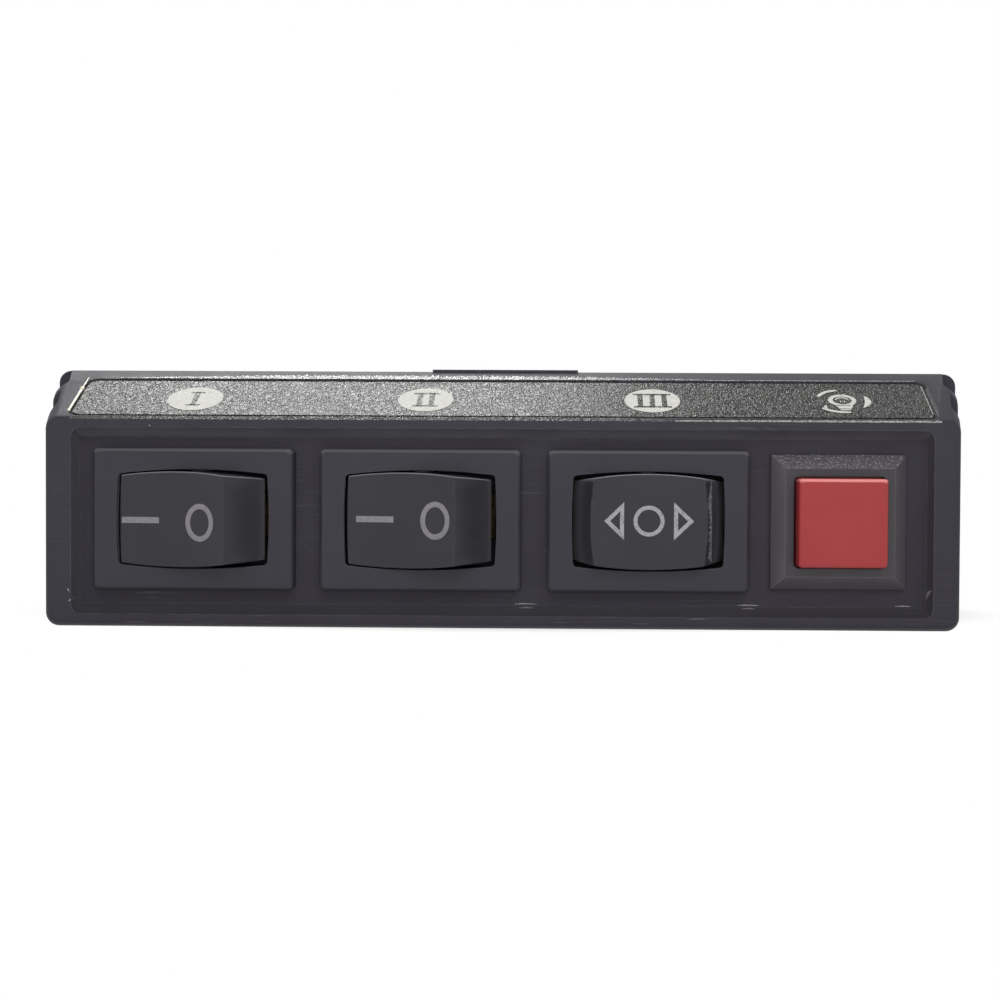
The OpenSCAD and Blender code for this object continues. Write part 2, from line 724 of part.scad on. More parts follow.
// Ears inside the long walls of a cap, with the pivot stubs on them
module cap_ears() {
    inner_z = cap_h / 2 - cap_wall - ear_step;
    outer_z = cap_h / 2 - ear_sink;
    stub_end = case_inner_h / 2 + stub_bite;
    for (side = [0, 1]) mirror([0, 0, side]) {
        translate([0, 0, inner_z]) linear_extrude(outer_z - inner_z) {
            circle(r = ear_r);
            translate([-ear_r, -flank_foot]) square([2 * ear_r, flank_foot]);
        }
        translate([0, 0, inner_z]) cylinder(r = pivot_r, h = stub_end - inner_z);
    }
}

// Places what follows about a rocker's pivot, at the tilt that it rests in
module at_pivot(i) {
    at_switch(i) translate([0, pivot_d, 0]) rotate([0, 0, i < 3 ? -tilt : 0]) children();
}

// A rod along Y
module rod(r, y0, y1) {
    translate([0, y0, 0]) rotate([-90, 0, 0]) cylinder(r = r, h = y1 - y0);
}

module rocker_cap(i) {
    bow = i < 3 ? cap_bow : centre_cap_bow;
    end_r = i < 3 ? end_bow_r : centre_end_bow_r;
    ceiling = face_dish + cap_wall - face_front;
    color(plastic) at_pivot(i) difference() {
        union() {
            difference() {
                plain_cap(bow, end_r);
                cap_pocket(bow);
            }
            cap_ears();
            rod(post_r, ceiling - cap_wall / 2, post_l);
        }
        rod(post_bore_r, post_l - post_bore_d, post_l + 1);
    }
}

// Nylon plunger with a round tip, in the bore of the rocker's post
module rocker_plunger(i) {
    color([0.9, 0.9, 0.86]) at_pivot(i) {
        rod(plunger_r, plunger_reach - plunger_l, plunger_reach - plunger_r);
        translate([0, plunger_reach - plunger_r, 0]) sphere(r = plunger_r);
    }
}

module rocker_spring(i) {
    color(steel) at_pivot(i) coil(post_bore_r - plunger_wire_r - contact_gap, plunger_wire_r,
        post_l - post_bore_d + contact_gap, plunger_reach - plunger_l - contact_gap, 6);
}

// See-saw blade with a rib to rock on and a rivet at each of the given sides
module contact_blade(i, sides) {
    half = rivet_x + rivet_r;
    color(brass) at_switch(i) translate([0, blade_back, 0]) rotate([0, 0, i < 3 ? blade_tilt : 0]) {
        slab(2 * half, blade_w, -blade_t, 0);
        cylinder(r = blade_rib_r, h = blade_w, center = true);
        for (side = sides) translate([side * rivet_x, 0, 0]) rod(rivet_r, 0, rivet_h);
    }
}

// Outline of a terminal in Y and Z: a blade from y0 to y1 with a bevelled tip and a hole
module tab_outline(w, y0, y1, hole_r) {
    bevel = w / 4;
    difference() {
        polygon([[y0, -w / 2], [y1 - bevel, -w / 2], [y1, bevel - w / 2], [y1, w / 2 - bevel],
            [y1 - bevel, w / 2], [y0, w / 2]]);
        translate([y1 - w / 2, 0]) circle(r = hole_r);
    }
}

// Middle terminal: a saddle for the blade between two ears
module common_terminal(i) {
    saddle_y = blade_back + blade_rib_r + contact_gap;
    slot_w = blade_w + 2 * contact_gap;
    color(brass) at_switch(i) along_x(tab_t) difference() {
        tab_outline(tab_w, blade_front, case_back + tab_l, tab_hole_r);
        translate([blade_front - 1, -slot_w / 2]) square([saddle_y - blade_front + 1, slot_w]);
    }
}

// Terminal at the end that side names, with a fixed rivet on its shelf
module outer_terminal(i, side) {
    inner_x = rivet_x - rivet_r - 2 * contact_gap;
    color(brass) at_switch(i) mirror([side < 0 ? 1 : 0, 0, 0]) {
        translate([tab_pitch, 0, 0]) along_x(tab_t)
            tab_outline(tab_w, outer_shelf_y, case_back + tab_l, tab_hole_r);
        translate([(inner_x + tab_pitch) / 2, 0, 0])
            slab(tab_pitch - inner_x, tab_w, outer_shelf_y, floor_y);
        translate([rivet_x, 0, 0]) rod(rivet_r, fixed_rivet_y, outer_shelf_y + eps);
    }
}

// Square bezel with a bevel, a case open behind and snap wings, in one moulding
module button_case() {
    color(plastic) at_button() difference() {
        union() {
            hull() {
                slab(button_flat, button_flat, 0, eps);
                slab(button_bezel, button_bezel, button_bevel_h, flange_t);
            }
            slab(button_case, button_case, flange_t - eps, button_back);
            snap_wings(button_case);
        }
        along_y(-1, button_front_t + 1) rounded_plate(button_hole, button_hole, button_cap_r);
        slab(button_inner, button_inner, button_front_t, button_back + 1);
    }
}

// Red cap with its stem; the neck behind the stem carries the contact bridge
module button_cap() {
    steps = 4;
    head_y = bridge_front + bridge_t;
    pocket_y = button_cap_t - button_proud;
    color([0.66, 0.2, 0.21]) at_button() {
        difference() {
            union() {
                hull() {
                    for (k = [0 : steps]) let (a = 90 * k / steps, inset = button_cap_r * (1 - sin(a)))
                        along_y(-button_proud + button_cap_r * (1 - cos(a)), cap_back)
                            rounded_plate(button_cap - 2 * inset, button_cap - 2 * inset, button_cap_r);
                }
                slab(button_inner - 2 * button_gap_side, button_inner - 2 * button_gap_side,
                    cap_back - cap_flange_t, cap_back);
            }
            rod(spring_r + spring_wire_r + contact_gap, pocket_y, cap_back + 1);
        }
        rod(stem_r, pocket_y - eps, bridge_front);
        rod(stem_r - neck_step, bridge_front - eps, head_y + eps);
        rod(stem_r - contact_gap, head_y, head_y + bridge_t);
    }
}

module button_spring() {
    color(steel) at_button() coil(spring_r, spring_wire_r, button_cap_t - button_proud + contact_gap,
        shelf_front - contact_gap, 7);
}

// Brass strip that joins the two terminals when the button is pressed
module button_bridge() {
    color(brass) at_button() difference() {
        slab(2 * bridge_half, button_tab_w, bridge_front, bridge_front + bridge_t);
        rod(stem_r - neck_step + contact_gap / 2, bridge_front - 1, bridge_front + 1);
    }
}

// Insulating block in the back of the case: shelf, bridge chamber and closing flange
module button_base() {
    block = button_inner - 2 * contact_gap;
    color([0.25, 0.23, 0.22]) at_button() difference() {
        union() {
            slab(block, block, shelf_front, button_back + eps);
            slab(button_case, button_case, button_back, base_back);
        }
        slab(2 * bridge_half + 4 * contact_gap, block + 1, shelf_front + shelf_t, base_wall_y);
        rod(stem_r + contact_gap, shelf_front - 1, base_wall_y);
        for (side = [-1, 1]) terminal_slots([side * button_tab_x], button_tab_t, button_tab_w,
            base_wall_y - 1, base_back + 1);
    }
}

module button_terminal(side) {
    pad_x = stem_r + pad_gap;
    color(brass) at_button() mirror([side < 0 ? 1 : 0, 0, 0]) {
        translate([button_tab_x, 0, 0]) along_x(button_tab_t)
            tab_outline(button_tab_w, pad_front, base_back + button_tab_l, button_hole_r);
        translate([(pad_x + button_tab_x) / 2, 0, 0])
            slab(button_tab_x - pad_x, button_tab_w, pad_front, base_wall_y);
    }
}

front_housing();
rear_cover();
cover_screws();
cable_grommet();
label_strip();
rocker_case(1, [0, tab_pitch]);  // switch_1_case
rocker_cap(1);  // switch_1_rocker
rocker_plunger(1);  // switch_1_plunger
rocker_spring(1);  // switch_1_spring
contact_blade(1, [1]);  // switch_1_blade
common_terminal(1);  // switch_1_common_terminal
outer_terminal(1, 1);  // switch_1_outer_terminal
rocker_case(2, [0, tab_pitch]);  // switch_2_case
rocker_cap(2);  // switch_2_rocker
rocker_plunger(2);  // switch_2_plunger
rocker_spring(2);  // switch_2_spring
contact_blade(2, [1]);  // switch_2_blade
common_terminal(2);  // switch_2_common_terminal
outer_terminal(2, 1);  // switch_2_outer_terminal
rocker_case(3, [-tab_pitch, 0, tab_pitch]);  // switch_3_case
rocker_cap(3);  // switch_3_rocker
rocker_plunger(3);  // switch_3_plunger
rocker_spring(3);  // switch_3_spring
contact_blade(3, [-1, 1]);  // switch_3_blade
common_terminal(3);  // switch_3_common_terminal
outer_terminal(3, 1);  // switch_3_right_terminal
outer_terminal(3, -1);  // switch_3_left_terminal
button_case();
button_cap();
button_spring();
button_bridge();
button_base();
button_terminal(-1);  // button_left_terminal
button_terminal(1);  // button_right_terminal
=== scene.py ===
"""Looks of the switch panel: finishes, printed marks, softened edges, studio and camera.

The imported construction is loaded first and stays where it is. Lengths in the classes are
millimetres, and the meshes are made in metres. X runs along the row of switches, Y to the back, Z up.
"""

import json
import logging
import math
from dataclasses import dataclass
from enum import Enum

import bmesh
import bpy
from mathutils import Matrix, Vector, noise
from mathutils.bvhtree import BVHTree

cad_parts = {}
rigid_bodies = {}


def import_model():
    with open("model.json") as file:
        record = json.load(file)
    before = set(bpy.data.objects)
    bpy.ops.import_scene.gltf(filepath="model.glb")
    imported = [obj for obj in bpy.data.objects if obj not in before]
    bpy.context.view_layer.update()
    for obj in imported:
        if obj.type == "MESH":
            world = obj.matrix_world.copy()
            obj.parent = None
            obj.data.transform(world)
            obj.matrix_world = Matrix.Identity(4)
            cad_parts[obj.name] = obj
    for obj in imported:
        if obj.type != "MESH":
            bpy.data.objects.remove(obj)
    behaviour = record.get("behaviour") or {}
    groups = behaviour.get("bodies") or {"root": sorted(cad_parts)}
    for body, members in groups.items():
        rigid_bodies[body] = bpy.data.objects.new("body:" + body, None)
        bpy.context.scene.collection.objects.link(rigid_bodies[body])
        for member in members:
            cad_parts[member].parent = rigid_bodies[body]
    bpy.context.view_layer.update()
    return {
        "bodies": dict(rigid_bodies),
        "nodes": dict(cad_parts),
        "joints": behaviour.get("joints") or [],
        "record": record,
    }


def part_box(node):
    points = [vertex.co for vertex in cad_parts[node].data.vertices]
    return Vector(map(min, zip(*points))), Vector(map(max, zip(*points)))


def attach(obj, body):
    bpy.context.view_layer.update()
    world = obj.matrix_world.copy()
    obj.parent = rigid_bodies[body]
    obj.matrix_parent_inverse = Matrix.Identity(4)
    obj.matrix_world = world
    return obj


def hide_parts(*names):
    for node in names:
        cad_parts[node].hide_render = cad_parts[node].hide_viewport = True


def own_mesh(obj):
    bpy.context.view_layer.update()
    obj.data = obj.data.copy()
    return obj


BMesh = bmesh.types.BMesh
BMVert = bmesh.types.BMVert
Socket = bpy.types.NodeSocket
Pair = tuple[float, float]
Triple = tuple[float, float, float]
RGB = Triple
Value = Socket | float
Paint = Socket | RGB
Stations = tuple[Pair, ...]

MM = 0.001
ORIGIN = (0.0, 0.0, 0.0)
WHITE = (1.0, 1.0, 1.0, 1.0)
log = logging.getLogger("switch_panel")


class Slot(Enum):
    """Material slots of the record."""

    HOUSING = "housing_plastic"
    BEZEL = "bezel_plastic"
    ROCKER = "rocker_plastic"
    BUTTON_BEZEL = "button_bezel_plastic"
    RED_CAP = "red_cap"
    BASE = "base_plastic"
    LABEL = "label_film"
    SCREW = "screw_steel"
    GROMMET = "grommet_rubber"
    PLUNGER = "plunger_nylon"
    SPRING = "spring_steel"
    CONTACT = "contact_brass"


class Grain(Enum):
    """How a surface is grained."""

    FINE = "fine"
    PEBBLE = "pebble"


def linear(red: int, green: int, blue: int) -> RGB:
    """Turn an 8-bit display colour into the linear one that a shader takes.

    Args:
        red, green, blue: Display values from 0 to 255.

    Returns:
        The linear colour.
    """
    return tuple((c / 255 / 12.92) if c <= 10 else ((c / 255 + 0.055) / 1.055) ** 2.4
                 for c in (red, green, blue))


class NodeSketch:
    """A material with a shader, and short calls that add procedural nodes to it."""

    def __init__(self, name: str) -> None:
        """Start an empty material with its shader and its coordinates in millimetres.

        Args:
            name: The material's name.
        """
        self.material = bpy.data.materials.new(name)
        self.material.use_nodes = True
        self.tree = self.material.node_tree
        self.tree.nodes.clear()
        self.output = self.tree.nodes.new("ShaderNodeOutputMaterial")
        self.shader = self.tree.nodes.new("ShaderNodeBsdfPrincipled")
        self.tree.links.new(self.shader.outputs["BSDF"], self.output.inputs["Surface"])
        place = self.tree.nodes.new("ShaderNodeTexCoord")
        self.point = self.mapped(place.outputs["Object"], (1 / MM,) * 3)

    def add(self, kind: str, inputs: dict | None = None, **settings: object) -> bpy.types.Node:
        """Add a node.

        Args:
            kind: Blender's name of the node type.
            inputs: Input names or indices with a plain value or an output socket to link.
            settings: Attributes to set on the node.

        Returns:
            The node.
        """
        node = self.tree.nodes.new(kind)
        for key, value in settings.items():
            setattr(node, key, value)
        for key, value in (inputs or {}).items():
            if isinstance(value, Socket):
                self.tree.links.new(value, node.inputs[key])
            else:
                node.inputs[key].default_value = value
        return node

    def mapped(self, vector: Socket, scale: Triple) -> Socket:
        """Return the vector scaled along each axis."""
        return self.add("ShaderNodeMapping", {"Vector": vector, "Scale": scale}).outputs["Vector"]

    def noise(self, size: float, detail: float, vector: Socket | None = None) -> Socket:
        """Return a noise whose blotches are about size millimetres across."""
        inputs = {"Vector": vector or self.point, "Scale": 1 / size, "Detail": detail}
        return self.add("ShaderNodeTexNoise", inputs).outputs["Fac"]

    def pebbles(self, size: float, smoothness: float = 0.35) -> Socket:
        """Return the distance to the middle of pebbles about size millimetres across."""
        inputs = {"Vector": self.point, "Scale": 1 / size, "Smoothness": smoothness}
        return self.add("ShaderNodeTexVoronoi", inputs, feature="SMOOTH_F1").outputs["Distance"]

    def ramp(self, value: Socket, low: float, high: float, to_low: float = 0.0,
             to_high: float = 1.0) -> Socket:
        """Return the value mapped from low..high to to_low..to_high, held at the ends."""
        inputs = {"Value": value, "From Min": low, "From Max": high, "To Min": to_low, "To Max": to_high}
        return self.add("ShaderNodeMapRange", inputs).outputs["Result"]

    def math(self, operation: str, first: Value, second: Value) -> Socket:
        """Return a product, maximum or other result of two values or sockets."""
        return self.add("ShaderNodeMath", {0: first, 1: second}, operation=operation).outputs[0]

    def both(self, first: Value, second: Value) -> Socket:
        """Return the product of two masks."""
        return self.math("MULTIPLY", first, second)

    def mix(self, factor: Socket, first: Paint, second: Paint) -> Socket:
        """Blend two colours.

        Args:
            factor: 0 gives the first colour and 1 the second.
            first, second: Each a colour or a socket.

        Returns:
            The blend.
        """
        node = self.add("ShaderNodeMix", {"Factor": factor}, data_type="RGBA")
        for name, paint in (("A_Color", first), ("B_Color", second)):
            socket = next(s for s in node.inputs if s.identifier == name)
            if isinstance(paint, Socket):
                self.tree.links.new(paint, socket)
            else:
                socket.default_value = (*paint, 1.0)
        return next(s for s in node.outputs if s.identifier == "Result_Color")

    def bump(self, height: Socket, depth: float, under: Socket | None = None) -> Socket:
        """Bump the surface.

        Args:
            height: Height of the bump, from 0 to 1.
            depth: What a height of 1 stands for, in millimetres.
            under: A bumped normal that this one lies on, if any.

        Returns:
            The bumped normal.
        """
        inputs = {"Height": height, "Distance": depth * MM, "Strength": 1.0}
        if under:
            inputs["Normal"] = under
        return self.add("ShaderNodeBump", inputs).outputs["Normal"]

    def edge(self, radius: float) -> Socket:
        """Mask the edges of a piece.

        Args:
            radius: How far the mask reaches from an edge, in millimetres.

        Returns:
            A mask that is 1 on edges and 0 on flat ground.
        """
        rounded = self.add("ShaderNodeBevel", {"Radius": radius * MM}, samples=6).outputs["Normal"]
        flat = self.add("ShaderNodeNewGeometry").outputs["Normal"]
        same = self.add("ShaderNodeVectorMath", {0: rounded, 1: flat}, operation="DOT_PRODUCT")
        return self.ramp(same.outputs["Value"], 0.995, 0.8)

    def hollow(self, reach: float, open_at: float) -> Socket:
        """Mask the hollows of a piece.

        Args:
            reach: How far away a wall still counts, in millimetres.
            open_at: Openness, from 0 to 1, at which the mask reaches 0.

        Returns:
            A mask that is 1 deep in a hollow.
        """
        node = self.add("ShaderNodeAmbientOcclusion", {"Distance": reach * MM}, samples=8)
        return self.ramp(node.outputs["AO"], 0.1, open_at, 1.0, 0.0)

    def facing(self, axis: str, low: float, high: float) -> Socket:
        """Return a mask from how much a face looks along an axis: 0 at low, 1 at high."""
        normal = self.add("ShaderNodeNewGeometry").outputs["Normal"]
        parts = self.add("ShaderNodeSeparateXYZ", {"Vector": normal})
        return self.ramp(parts.outputs[axis], low, high)

    def finish(self, colour: Paint, roughness: Value, normal: Socket | None = None,
               **plain: float) -> bpy.types.Material:
        """Connect the shader.

        Args:
            colour: A colour or a socket.
            roughness: A value or a socket.
            normal: The bumped normal, if any.
            plain: Values for sockets that are the same all over, by name with _ for a space.

        Returns:
            The finished material.
        """
        wires = {"Base Color": colour, "Roughness": roughness}
        if normal:
            wires["Normal"] = normal
        for key, value in wires.items():
            if isinstance(value, Socket):
                self.tree.links.new(value, self.shader.inputs[key])
            elif key == "Base Color":
                self.shader.inputs[key].default_value = (*value, 1.0)
            else:
                self.shader.inputs[key].default_value = value
        for key, value in plain.items():
            self.shader.inputs[key.replace("_", " ")].default_value = value
        return self.material


@dataclass(frozen=True)
class Plastic:
    """Moulded plastic with a grain, faint blotches and worn edges, and with painted light: painted
    highlights on its edges and sloped faces, and painted fill light on the walls of its hollows.
    """

    name: str
    colour: RGB
    bloom: RGB
    roughness: float = 0.45
    grain: Grain = Grain.FINE
    grain_size: float = 0.12
    grain_depth: float = 0.006
    wave_depth: float = 0.01
    specks: float = 0.0
    speck_colour: RGB = (0.3, 0.3, 0.29)
    scratches: float = 0.0
    scratch_colour: RGB = (0.11, 0.108, 0.115)
    edge_radius: float = 0.25
    # Edge colour: wear, and a painted highlight on the edges.
    edge_wear_and_highlight: RGB = (0.09, 0.09, 0.1)
    # Painted highlight on the edges that look up, above a height.
    painted_upper_highlight: RGB | None = None
    painted_upper_highlight_above: float = 0.0
    # Painted fill light on the walls of hollows: its colour, its reach and the openness where it stops.
    painted_hollow_light: RGB | None = None
    painted_hollow_light_reach: float = 4.0
    painted_hollow_light_open: float = 0.95
    # Painted light on the sloped faces, and painted glints on those that look up.
    painted_bevel_light: RGB | None = None
    painted_bevel_glints: RGB | None = None
    specular: float = 0.5

    def soiled_and_hollows_lit(self, s: NodeSketch, colour: Socket) -> Socket:
        """Put specks and scratches on the plastic, and paint the walls of its hollows lighter, most those
        that face down, as painted fill light.

        Args:
            s: The material in the making.
            colour: The colour so far.

        Returns:
            The colour with its specks, scratches and painted hollow light.
        """
        if self.specks:
            dots = s.ramp(s.noise(0.4, 3.0), 0.80 - self.specks * 0.02, 0.82)
            colour = s.mix(dots, colour, self.speck_colour)
        if self.scratches:
            streak = s.noise(0.22, 3.0, s.mapped(s.point, (0.05, 1.0, 1.0)))
            patch = s.ramp(s.noise(9.0, 2.0), 0.5, 0.7, 0.0, self.scratches)
            colour = s.mix(s.both(s.ramp(streak, 0.6, 0.72), patch), colour, self.scratch_colour)
        # Painted light: walls in hollows are lightened, most those that face down, standing in for fill
        # light.
        if self.painted_hollow_light:
            wall = s.both(s.hollow(self.painted_hollow_light_reach, self.painted_hollow_light_open), s.facing("Y", -0.9, -0.4))
            under = s.ramp(s.facing("Z", 0.6, -0.6), 0.0, 1.0, 0.35, 1.0)
            colour = s.mix(s.both(wall, under), colour, self.painted_hollow_light)
        return colour

    def bevels_painted_lit(self, s: NodeSketch, colour: Socket) -> Socket:
        """Paint the sloped faces lighter, and paint glints on the grain of those that look up, as painted
        highlights.

        Args:
            s: The material in the making.
            colour: The colour so far.

        Returns:
            The colour with its painted highlights.
        """
        # Painted highlight: faces that don't look straight out are painted lighter.
        if self.painted_bevel_light:
            colour = s.mix(s.facing("Y", -0.97, -0.9), colour, self.painted_bevel_light)
        # Painted glints on the grain of faces that look up.
        if self.painted_bevel_glints:
            glints = s.ramp(s.noise(0.2, 3.0), 0.53, 0.62)
            colour = s.mix(s.both(glints, s.facing("Z", 0.2, 0.45)), colour, self.painted_bevel_glints)
        return colour

    def worn_with_painted_highlights(self, s: NodeSketch, colour: Socket) -> Socket:
        """Wear the edges, whose lighter colour is also a painted highlight, and paint a highlight on the
        edges that look up.

        Args:
            s: The material in the making.
            colour: The colour so far.

        Returns:
            The worn colour with its painted highlights.
        """
        # Worn edges, lightened also as a painted highlight.
        worn = s.both(s.edge(self.edge_radius), s.ramp(s.noise(0.9, 4.0), 0.35, 0.65, 0.2, 1.0))
        colour = s.mix(worn, colour, self.edge_wear_and_highlight)
        # Painted highlight on the upper edges.
        if self.painted_upper_highlight:
            height = s.add("ShaderNodeSeparateXYZ", {"Vector": s.point}).outputs["Z"]
            above = s.ramp(height, self.painted_upper_highlight_above - 0.1, self.painted_upper_highlight_above)
            turned = s.both(s.facing("Z", 0.12, 0.5), s.facing("Z", 0.97, 0.85))
            colour = s.mix(s.both(turned, above), colour, self.painted_upper_highlight)
        return colour

    def grain_height(self, s: NodeSketch) -> Socket:
        """Return the height of the grain, which as pebbles shows only on faces that look up."""
        if self.grain is Grain.PEBBLE:
            return s.both(s.ramp(s.pebbles(self.grain_size), 0.0, 0.6, 1.0, 0.0), s.facing("Z", 0.05, 0.35))
        return s.noise(self.grain_size, 2.0)

    def material(self) -> bpy.types.Material:
        """Build the material."""
        s = NodeSketch(self.name)
        colour = s.mix(s.ramp(s.noise(6.0, 5.0), 0.3, 0.7), self.colour, self.bloom)
        colour = self.worn_with_painted_highlights(s, self.bevels_painted_lit(s, self.soiled_and_hollows_lit(s, colour)))
        rough = s.ramp(s.noise(2.5, 4.0), 0.3, 0.7, self.roughness - 0.05, self.roughness + 0.06)
        wave = s.bump(s.noise(9.0, 1.0), self.wave_depth)
        normal = s.bump(self.grain_height(s), self.grain_depth, wave)
        return s.finish(colour, rough, normal, Specular_IOR_Level=self.specular)


@dataclass(frozen=True)
class Film:
    """Film embossed with fine worm-like ridges, painted lighter on their tops and dark between them as
    painted light and shade.
    """

    name: str = "label film"
    low: RGB = (0.004, 0.004, 0.004)
    high: RGB = (0.060, 0.059, 0.055)
    ridge_size: float = 0.27
    ridge_stretch: float = 0.5
    ridge_depth: float = 0.05
    roughness: float = 0.28
    specular: float = 0.08

    def material(self) -> bpy.types.Material:
        """Build the material."""
        s = NodeSketch(self.name)
        drawn = s.mapped(s.point, (1.0, self.ridge_stretch, self.ridge_stretch))
        worm = s.add("ShaderNodeTexNoise", {"Vector": drawn, "Scale": 1 / self.ridge_size, "Detail": 1.5,
                                            "Distortion": 0.9}).outputs["Fac"]
        top = s.ramp(worm, 0.40, 0.60)
        patchy = s.ramp(s.noise(2.0, 2.0), 0.3, 0.7, 0.85, 1.0)
        # Painted light and shade: ridge tops lighter, the hollows between them dark.
        colour = s.mix(s.both(top, patchy), self.low, self.high)
        fine = s.bump(s.noise(0.09, 2.0), 0.008)
        normal = s.bump(top, self.ridge_depth, fine)
        return s.finish(colour, self.roughness, normal, Specular_IOR_Level=self.specular)


@dataclass(frozen=True)
class Ink:
    """Printed, worn or filled-in marking, thin at its worn spots, and also the thin marks of painted
    highlights and glints.
    """

    name: str
    colour: RGB
    worn: RGB
    roughness: float = 0.55
    wear_size: float = 0.35
    wear: Pair = (0.45, 0.75)

    def material(self) -> bpy.types.Material:
        """Build the material."""
        s = NodeSketch(self.name)
        colour = s.mix(s.ramp(s.noise(self.wear_size, 5.0), *self.wear), self.colour, self.worn)
        return s.finish(colour, self.roughness, s.bump(s.noise(0.1, 3.0), 0.006))


@dataclass(frozen=True)
class Metal:
    """Plated or bare metal with fine drawn lines."""

    name: str
    colour: RGB
    dull: RGB
    roughness: float = 0.3

    def material(self) -> bpy.types.Material:
        """Build the material."""
        s = NodeSketch(self.name)
        lines = s.noise(0.4, 6.0, s.mapped(s.point, (1.0, 8.0, 1.0)))
        colour = s.mix(s.ramp(s.noise(1.5, 4.0), 0.35, 0.7), self.colour, self.dull)
        rough = s.ramp(lines, 0.3, 0.7, self.roughness - 0.06, self.roughness + 0.1)
        return s.finish(colour, rough, s.bump(lines, 0.004), Metallic=1.0)


@dataclass(frozen=True)
class Rubber:
    """Matt rubber with a grey bloom."""

    name: str = "grommet rubber"
    colour: RGB = (0.012, 0.012, 0.012)
    bloom: RGB = (0.035, 0.035, 0.034)

    def material(self) -> bpy.types.Material:
        """Build the material."""
        s = NodeSketch(self.name)
        colour = s.mix(s.ramp(s.noise(1.2, 5.0), 0.35, 0.75), self.colour, self.bloom)
        return s.finish(colour, 0.75, s.bump(s.noise(0.25, 5.0), 0.02), Specular_IOR_Level=0.3)


# Painted light in these finishes: the hollow, bevel and upper-edge colours, and part of the lighter edge
# colours.
FINISHES = {
    Slot.HOUSING: Plastic("housing plastic", (0.041, 0.038, 0.047), (0.046, 0.043, 0.053), 0.5,
                          grain_size=0.22, grain_depth=0.012, specks=1.0, scratches=0.8, specular=0.06,
                          painted_hollow_light=(0.15, 0.144, 0.158)),
    Slot.BEZEL: Plastic("bezel plastic", (0.030, 0.028, 0.036), (0.034, 0.032, 0.041), 0.38,
                        grain_size=0.1, grain_depth=0.004, edge_radius=0.15, specular=0.25,
                        edge_wear_and_highlight=(0.12, 0.12, 0.13), painted_hollow_light=(0.30, 0.29, 0.31), painted_hollow_light_reach=2.5,
                        painted_hollow_light_open=0.5, painted_upper_highlight=(0.085, 0.082, 0.09), painted_upper_highlight_above=17.5),
    Slot.ROCKER: Plastic("rocker plastic", (0.0275, 0.0255, 0.032), (0.0315, 0.0295, 0.036), 0.34,
                         grain_size=0.12, grain_depth=0.004, edge_radius=0.12, specks=0.5,
                         specular=0.25, painted_hollow_light=(0.16, 0.155, 0.168), painted_hollow_light_reach=3.0, painted_hollow_light_open=0.9,
                         painted_upper_highlight=(0.2, 0.195, 0.21), painted_upper_highlight_above=13.0),
    Slot.BUTTON_BEZEL: Plastic("button bezel plastic", (0.028, 0.025, 0.031), (0.032, 0.029, 0.035),
                               0.36, Grain.PEBBLE, 0.17, 0.05, edge_radius=0.12, specular=0.5,
                               painted_bevel_light=(0.072, 0.067, 0.075), painted_bevel_glints=(0.25, 0.24, 0.25)),
    Slot.RED_CAP: Plastic("red cap plastic", (0.284, 0.0185, 0.022), (0.302, 0.022, 0.026), 0.34,
                          grain_size=0.3, grain_depth=0.003, wave_depth=0.02, edge_radius=0.3,
                          edge_wear_and_highlight=linear(176, 70, 72), painted_upper_highlight=linear(232, 140, 134)),
    Slot.BASE: Plastic("base block plastic", (0.02, 0.016, 0.013), (0.03, 0.025, 0.02), 0.5),
    Slot.LABEL: Film(),
    Slot.SCREW: Metal("zinc plated steel", (0.55, 0.56, 0.58), (0.38, 0.38, 0.38)),
    Slot.GROMMET: Rubber(),
    Slot.PLUNGER: Plastic("plunger nylon", (0.6, 0.58, 0.5), (0.66, 0.64, 0.57), 0.4,
                          edge_wear_and_highlight=(0.7, 0.68, 0.6)),
    Slot.SPRING: Metal("spring steel", (0.55, 0.55, 0.56), (0.4, 0.4, 0.4), 0.25),
    Slot.CONTACT: Metal("contact brass", (0.33, 0.23, 0.09), (0.16, 0.11, 0.05), 0.45),
}
GREY_SIGN = Ink("grey sign", linear(122, 119, 125), linear(106, 103, 109))
PALE_SIGN = Ink("pale sign", linear(150, 148, 152), linear(118, 116, 120))
# Painted highlight: the pale spotty line along rocker 3's ridge.
PAINTED_RIDGE_HIGHLIGHT = Ink("painted ridge highlight", linear(178, 176, 178), linear(70, 68, 73), 0.5, 0.16, (0.4, 0.52))
# Painted glints: small bright spots of light on the front rim's edges.
PAINTED_RIM_GLINT = Ink("painted rim glint", linear(150, 148, 152), linear(86, 84, 88), 0.5, 0.2)
# Painted highlights round the label: wide bright lips and thin bright lines along its edges and its seat.
PAINTED_HIGHLIGHT_LIP = Film("painted highlight lip", (0.03, 0.03, 0.033), (0.13, 0.128, 0.13), ridge_size=0.2,
                  ridge_stretch=0.6, specular=0.4)
PAINTED_HIGHLIGHT_LINE = Ink("painted highlight line", linear(160, 158, 154), linear(84, 82, 85), 0.42, 0.2, (0.44, 0.64))
DRIED_GLUE = Ink("dried glue", linear(236, 233, 208), linear(188, 182, 160), 0.3, 0.5)
LABEL_WHITE = Ink("label white", linear(197, 196, 190), linear(170, 169, 162), 0.75)
LABEL_SIGN = Ink("label sign", linear(196, 195, 190), linear(150, 149, 146))


